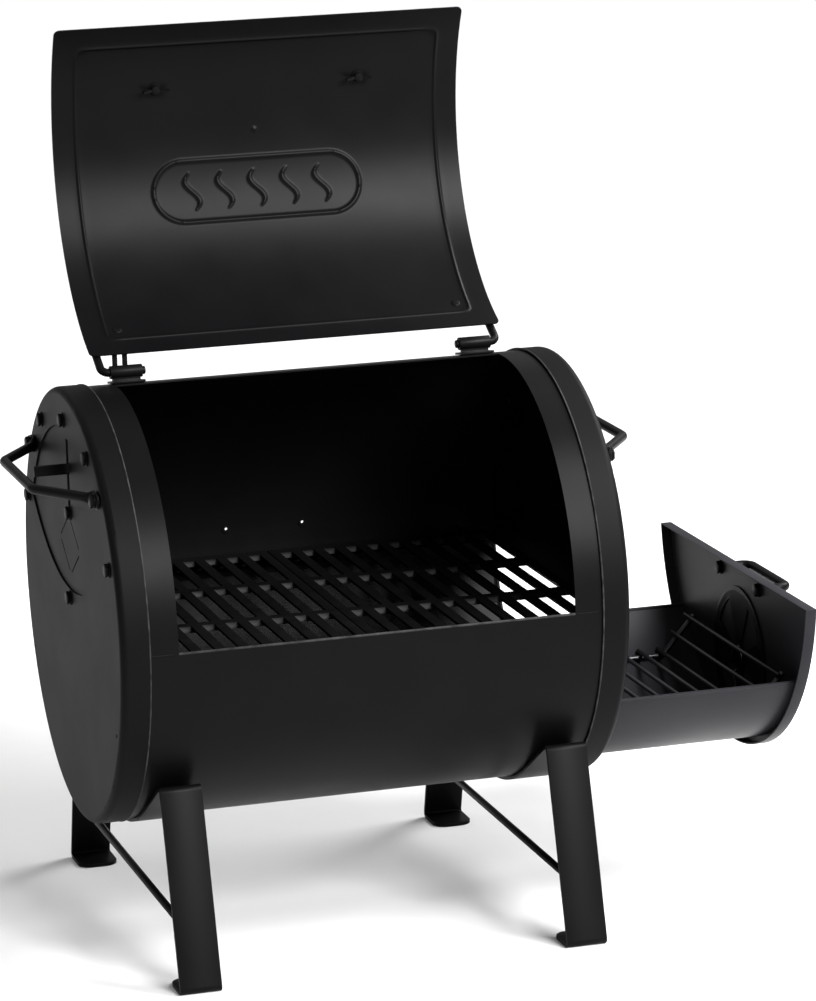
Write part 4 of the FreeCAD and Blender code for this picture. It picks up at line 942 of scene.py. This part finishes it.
# a low ring is pressed just inside the rim
for thickness, depth in ((2, 0), (1.2, 0.25), (1.2, -0.25)):
    bmesh.ops.inset_region(plate, faces=inside, thickness=thickness * mm, depth=depth * mm,
                           use_even_offset=True)
plate = cut_away(plate, vent_tools(disc_low.x - 3 * mm, (45, 135, 225, 315), 8))
finished("butterfly_damper", plate, black_paint, "damper", "black_paint", "damper_disc")

pivot_parts = bmesh.new()
bolt(pivot_parts, Vector((panel_high.x + seam * mm, pivot.y, pivot.z)), OUT_RIGHT, 6.3)
# the washer behind the disc
washer_seat = Vector((panel_high.x - 4.6 * mm, pivot.y, pivot.z))
disc(pivot_parts, OUT_LEFT, washer_seat, 0, 1.5, 10.6, soft=0.3)
finished("damper_pivot_hex_bolt", pivot_parts, fastener_paint, "drawer", "black_fastener",
         "damper_pivot_bolt")

# Bright zinc plate on spring wire: a pale grey metal with a soft sheen.
zinc = blank_material("zinc_plated_spring_wire")
spot = add(zinc, "ShaderNodeTexCoord").outputs["Object"]
bloom = add(zinc, "ShaderNodeTexNoise", [(spot, "Vector")], Scale=1 / (2 * mm), Detail=2.0)
tone = add(zinc, "ShaderNodeValToRGB", [(bloom.outputs["Fac"], "Fac")])
tone.color_ramp.elements[0].color = linear("#8f9194")
tone.color_ramp.elements[1].color = linear("#b4b6b8")
gloss = add(zinc, "ShaderNodeMapRange", [(bloom.outputs["Fac"], "Value")], To_Min=0.25, To_Max=0.4)
metal = add(zinc, "ShaderNodeBsdfPrincipled",
            [(tone.outputs["Color"], "Base Color"), (gloss.outputs["Result"], "Roughness")],
            Metallic=1.0)
add(zinc, "ShaderNodeOutputMaterial", [(metal.outputs["BSDF"], "Surface")])
spring_low, spring_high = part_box("damper_spring")
spring_wire = 0.5
spring_radius = (spring_high.y - spring_low.y) / 2 / mm - spring_wire
spring_turns = 2
spring_steps = 48 * spring_turns
# its free end, which hangs below the coil
spring_tail = ((0.4, 0, 0), (-2, 4, -9), (-0.5, 2.5, -17), (-3, 7, -26))
coil = bmesh.new()
ring = bmesh.ops.create_circle(coil, segments=10, radius=spring_wire * mm, matrix=turned(
    BACK, Vector((spring_low.x + spring_wire * mm, 0, pivot.z + spring_radius * mm))))["verts"]
bmesh.ops.spin(coil, geom=ring + coil.edges[:], cent=pivot, axis=(1, 0, 0),
               dvec=((spring_high.x - spring_low.x - 2 * spring_wire * mm) / spring_steps, 0, 0),
               angle=math.tau * spring_turns, space=Matrix(), steps=spring_steps, use_duplicate=False)
bmesh.ops.holes_fill(coil, edges=[edge for edge in coil.edges if edge.is_boundary], sides=0)
coil_bottom = Vector((spring_low.x, 0, pivot.z))
swept_rod(coil, [coil_bottom + Vector((x, y, z - spring_radius)) * mm for x, y, z in spring_tail],
          (2, 2), spring_wire, segments=10)
finished("damper_coil_spring", coil, zinc, "drawer", "zinc", "damper_spring")


# Charcoal grate. Round steel wires, spot-welded across two rails that bend up at the front end. The
# bare wire has gone a dull dark grey from its drawing soap and a thin coat of oil.
wire_radius = 2
rail_radius = 2.5
drawn_wire = blank_material("drawn_steel_wire")
spot = add(drawn_wire, "ShaderNodeTexCoord").outputs["Object"]
streak = add(drawn_wire, "ShaderNodeTexNoise", [(spot, "Vector")], Scale=1 / (6 * mm), Detail=4.0)
tone = add(drawn_wire, "ShaderNodeValToRGB", [(streak.outputs["Fac"], "Fac")])
tone.color_ramp.elements[0].color = linear("#2c2c2e")
tone.color_ramp.elements[1].color = linear("#48484a")
gloss = add(drawn_wire, "ShaderNodeMapRange", [(streak.outputs["Fac"], "Value")],
            To_Min=0.3, To_Max=0.5)
metal = add(drawn_wire, "ShaderNodeBsdfPrincipled",
            [(tone.outputs["Color"], "Base Color"), (gloss.outputs["Result"], "Roughness")],
            Metallic=1.0)
add(drawn_wire, "ShaderNodeOutputMaterial", [(metal.outputs["BSDF"], "Surface")])

wires_low, wires_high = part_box("charcoal_grate_wires")
wire_z = wires_low.z + wire_radius * mm
wire_half = wires_high.y / mm
slope = math.radians(48)
slope_pitch = 20
slope_wires = 3
slope_tail = 4.5
wire_pitch = 18.5
flat_wires = 20
uphill = Vector((math.cos(slope), 0, math.sin(slope)))
slope_reach = (slope_wires - 1) * slope_pitch * mm
bend = Vector((wires_high.x - wire_radius * mm - uphill.x * slope_reach, 0, wire_z))
places = [bend - OUT_RIGHT * number * wire_pitch * mm for number in range(1, flat_wires + 1)]
places += [bend + uphill * number * slope_pitch * mm for number in range(slope_wires)]
wires = bmesh.new()
for place in places:
    swept_rod(wires, [place - BACK * wire_half * mm, place + BACK * wire_half * mm], (), wire_radius,
              segments=12)
finished("charcoal_cross_wires", wires, drawn_wire, "charcoal_grate", "grate_wire",
         "charcoal_grate_wires")

below = wire_radius + rail_radius + seam
rail_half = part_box("charcoal_grate_rails")[1].y - rail_radius * mm
rails = bmesh.new()
for side in (-1, 1):
    line = [places[flat_wires - 1] - OUT_RIGHT * slope_tail * mm + DOWN * below * mm,
            bend + Vector((math.tan(slope / 2), 0, -1)) * below * mm,
            places[-1] + uphill * slope_tail * mm + Vector((uphill.z, 0, -uphill.x)) * below * mm]
    swept_rod(rails, [point + BACK * side * rail_half for point in line], (below,), rail_radius,
              segments=14)
finished("charcoal_grate_side_rails", rails, drawn_wire, "charcoal_grate", "grate_wire",
         "charcoal_grate_rails")
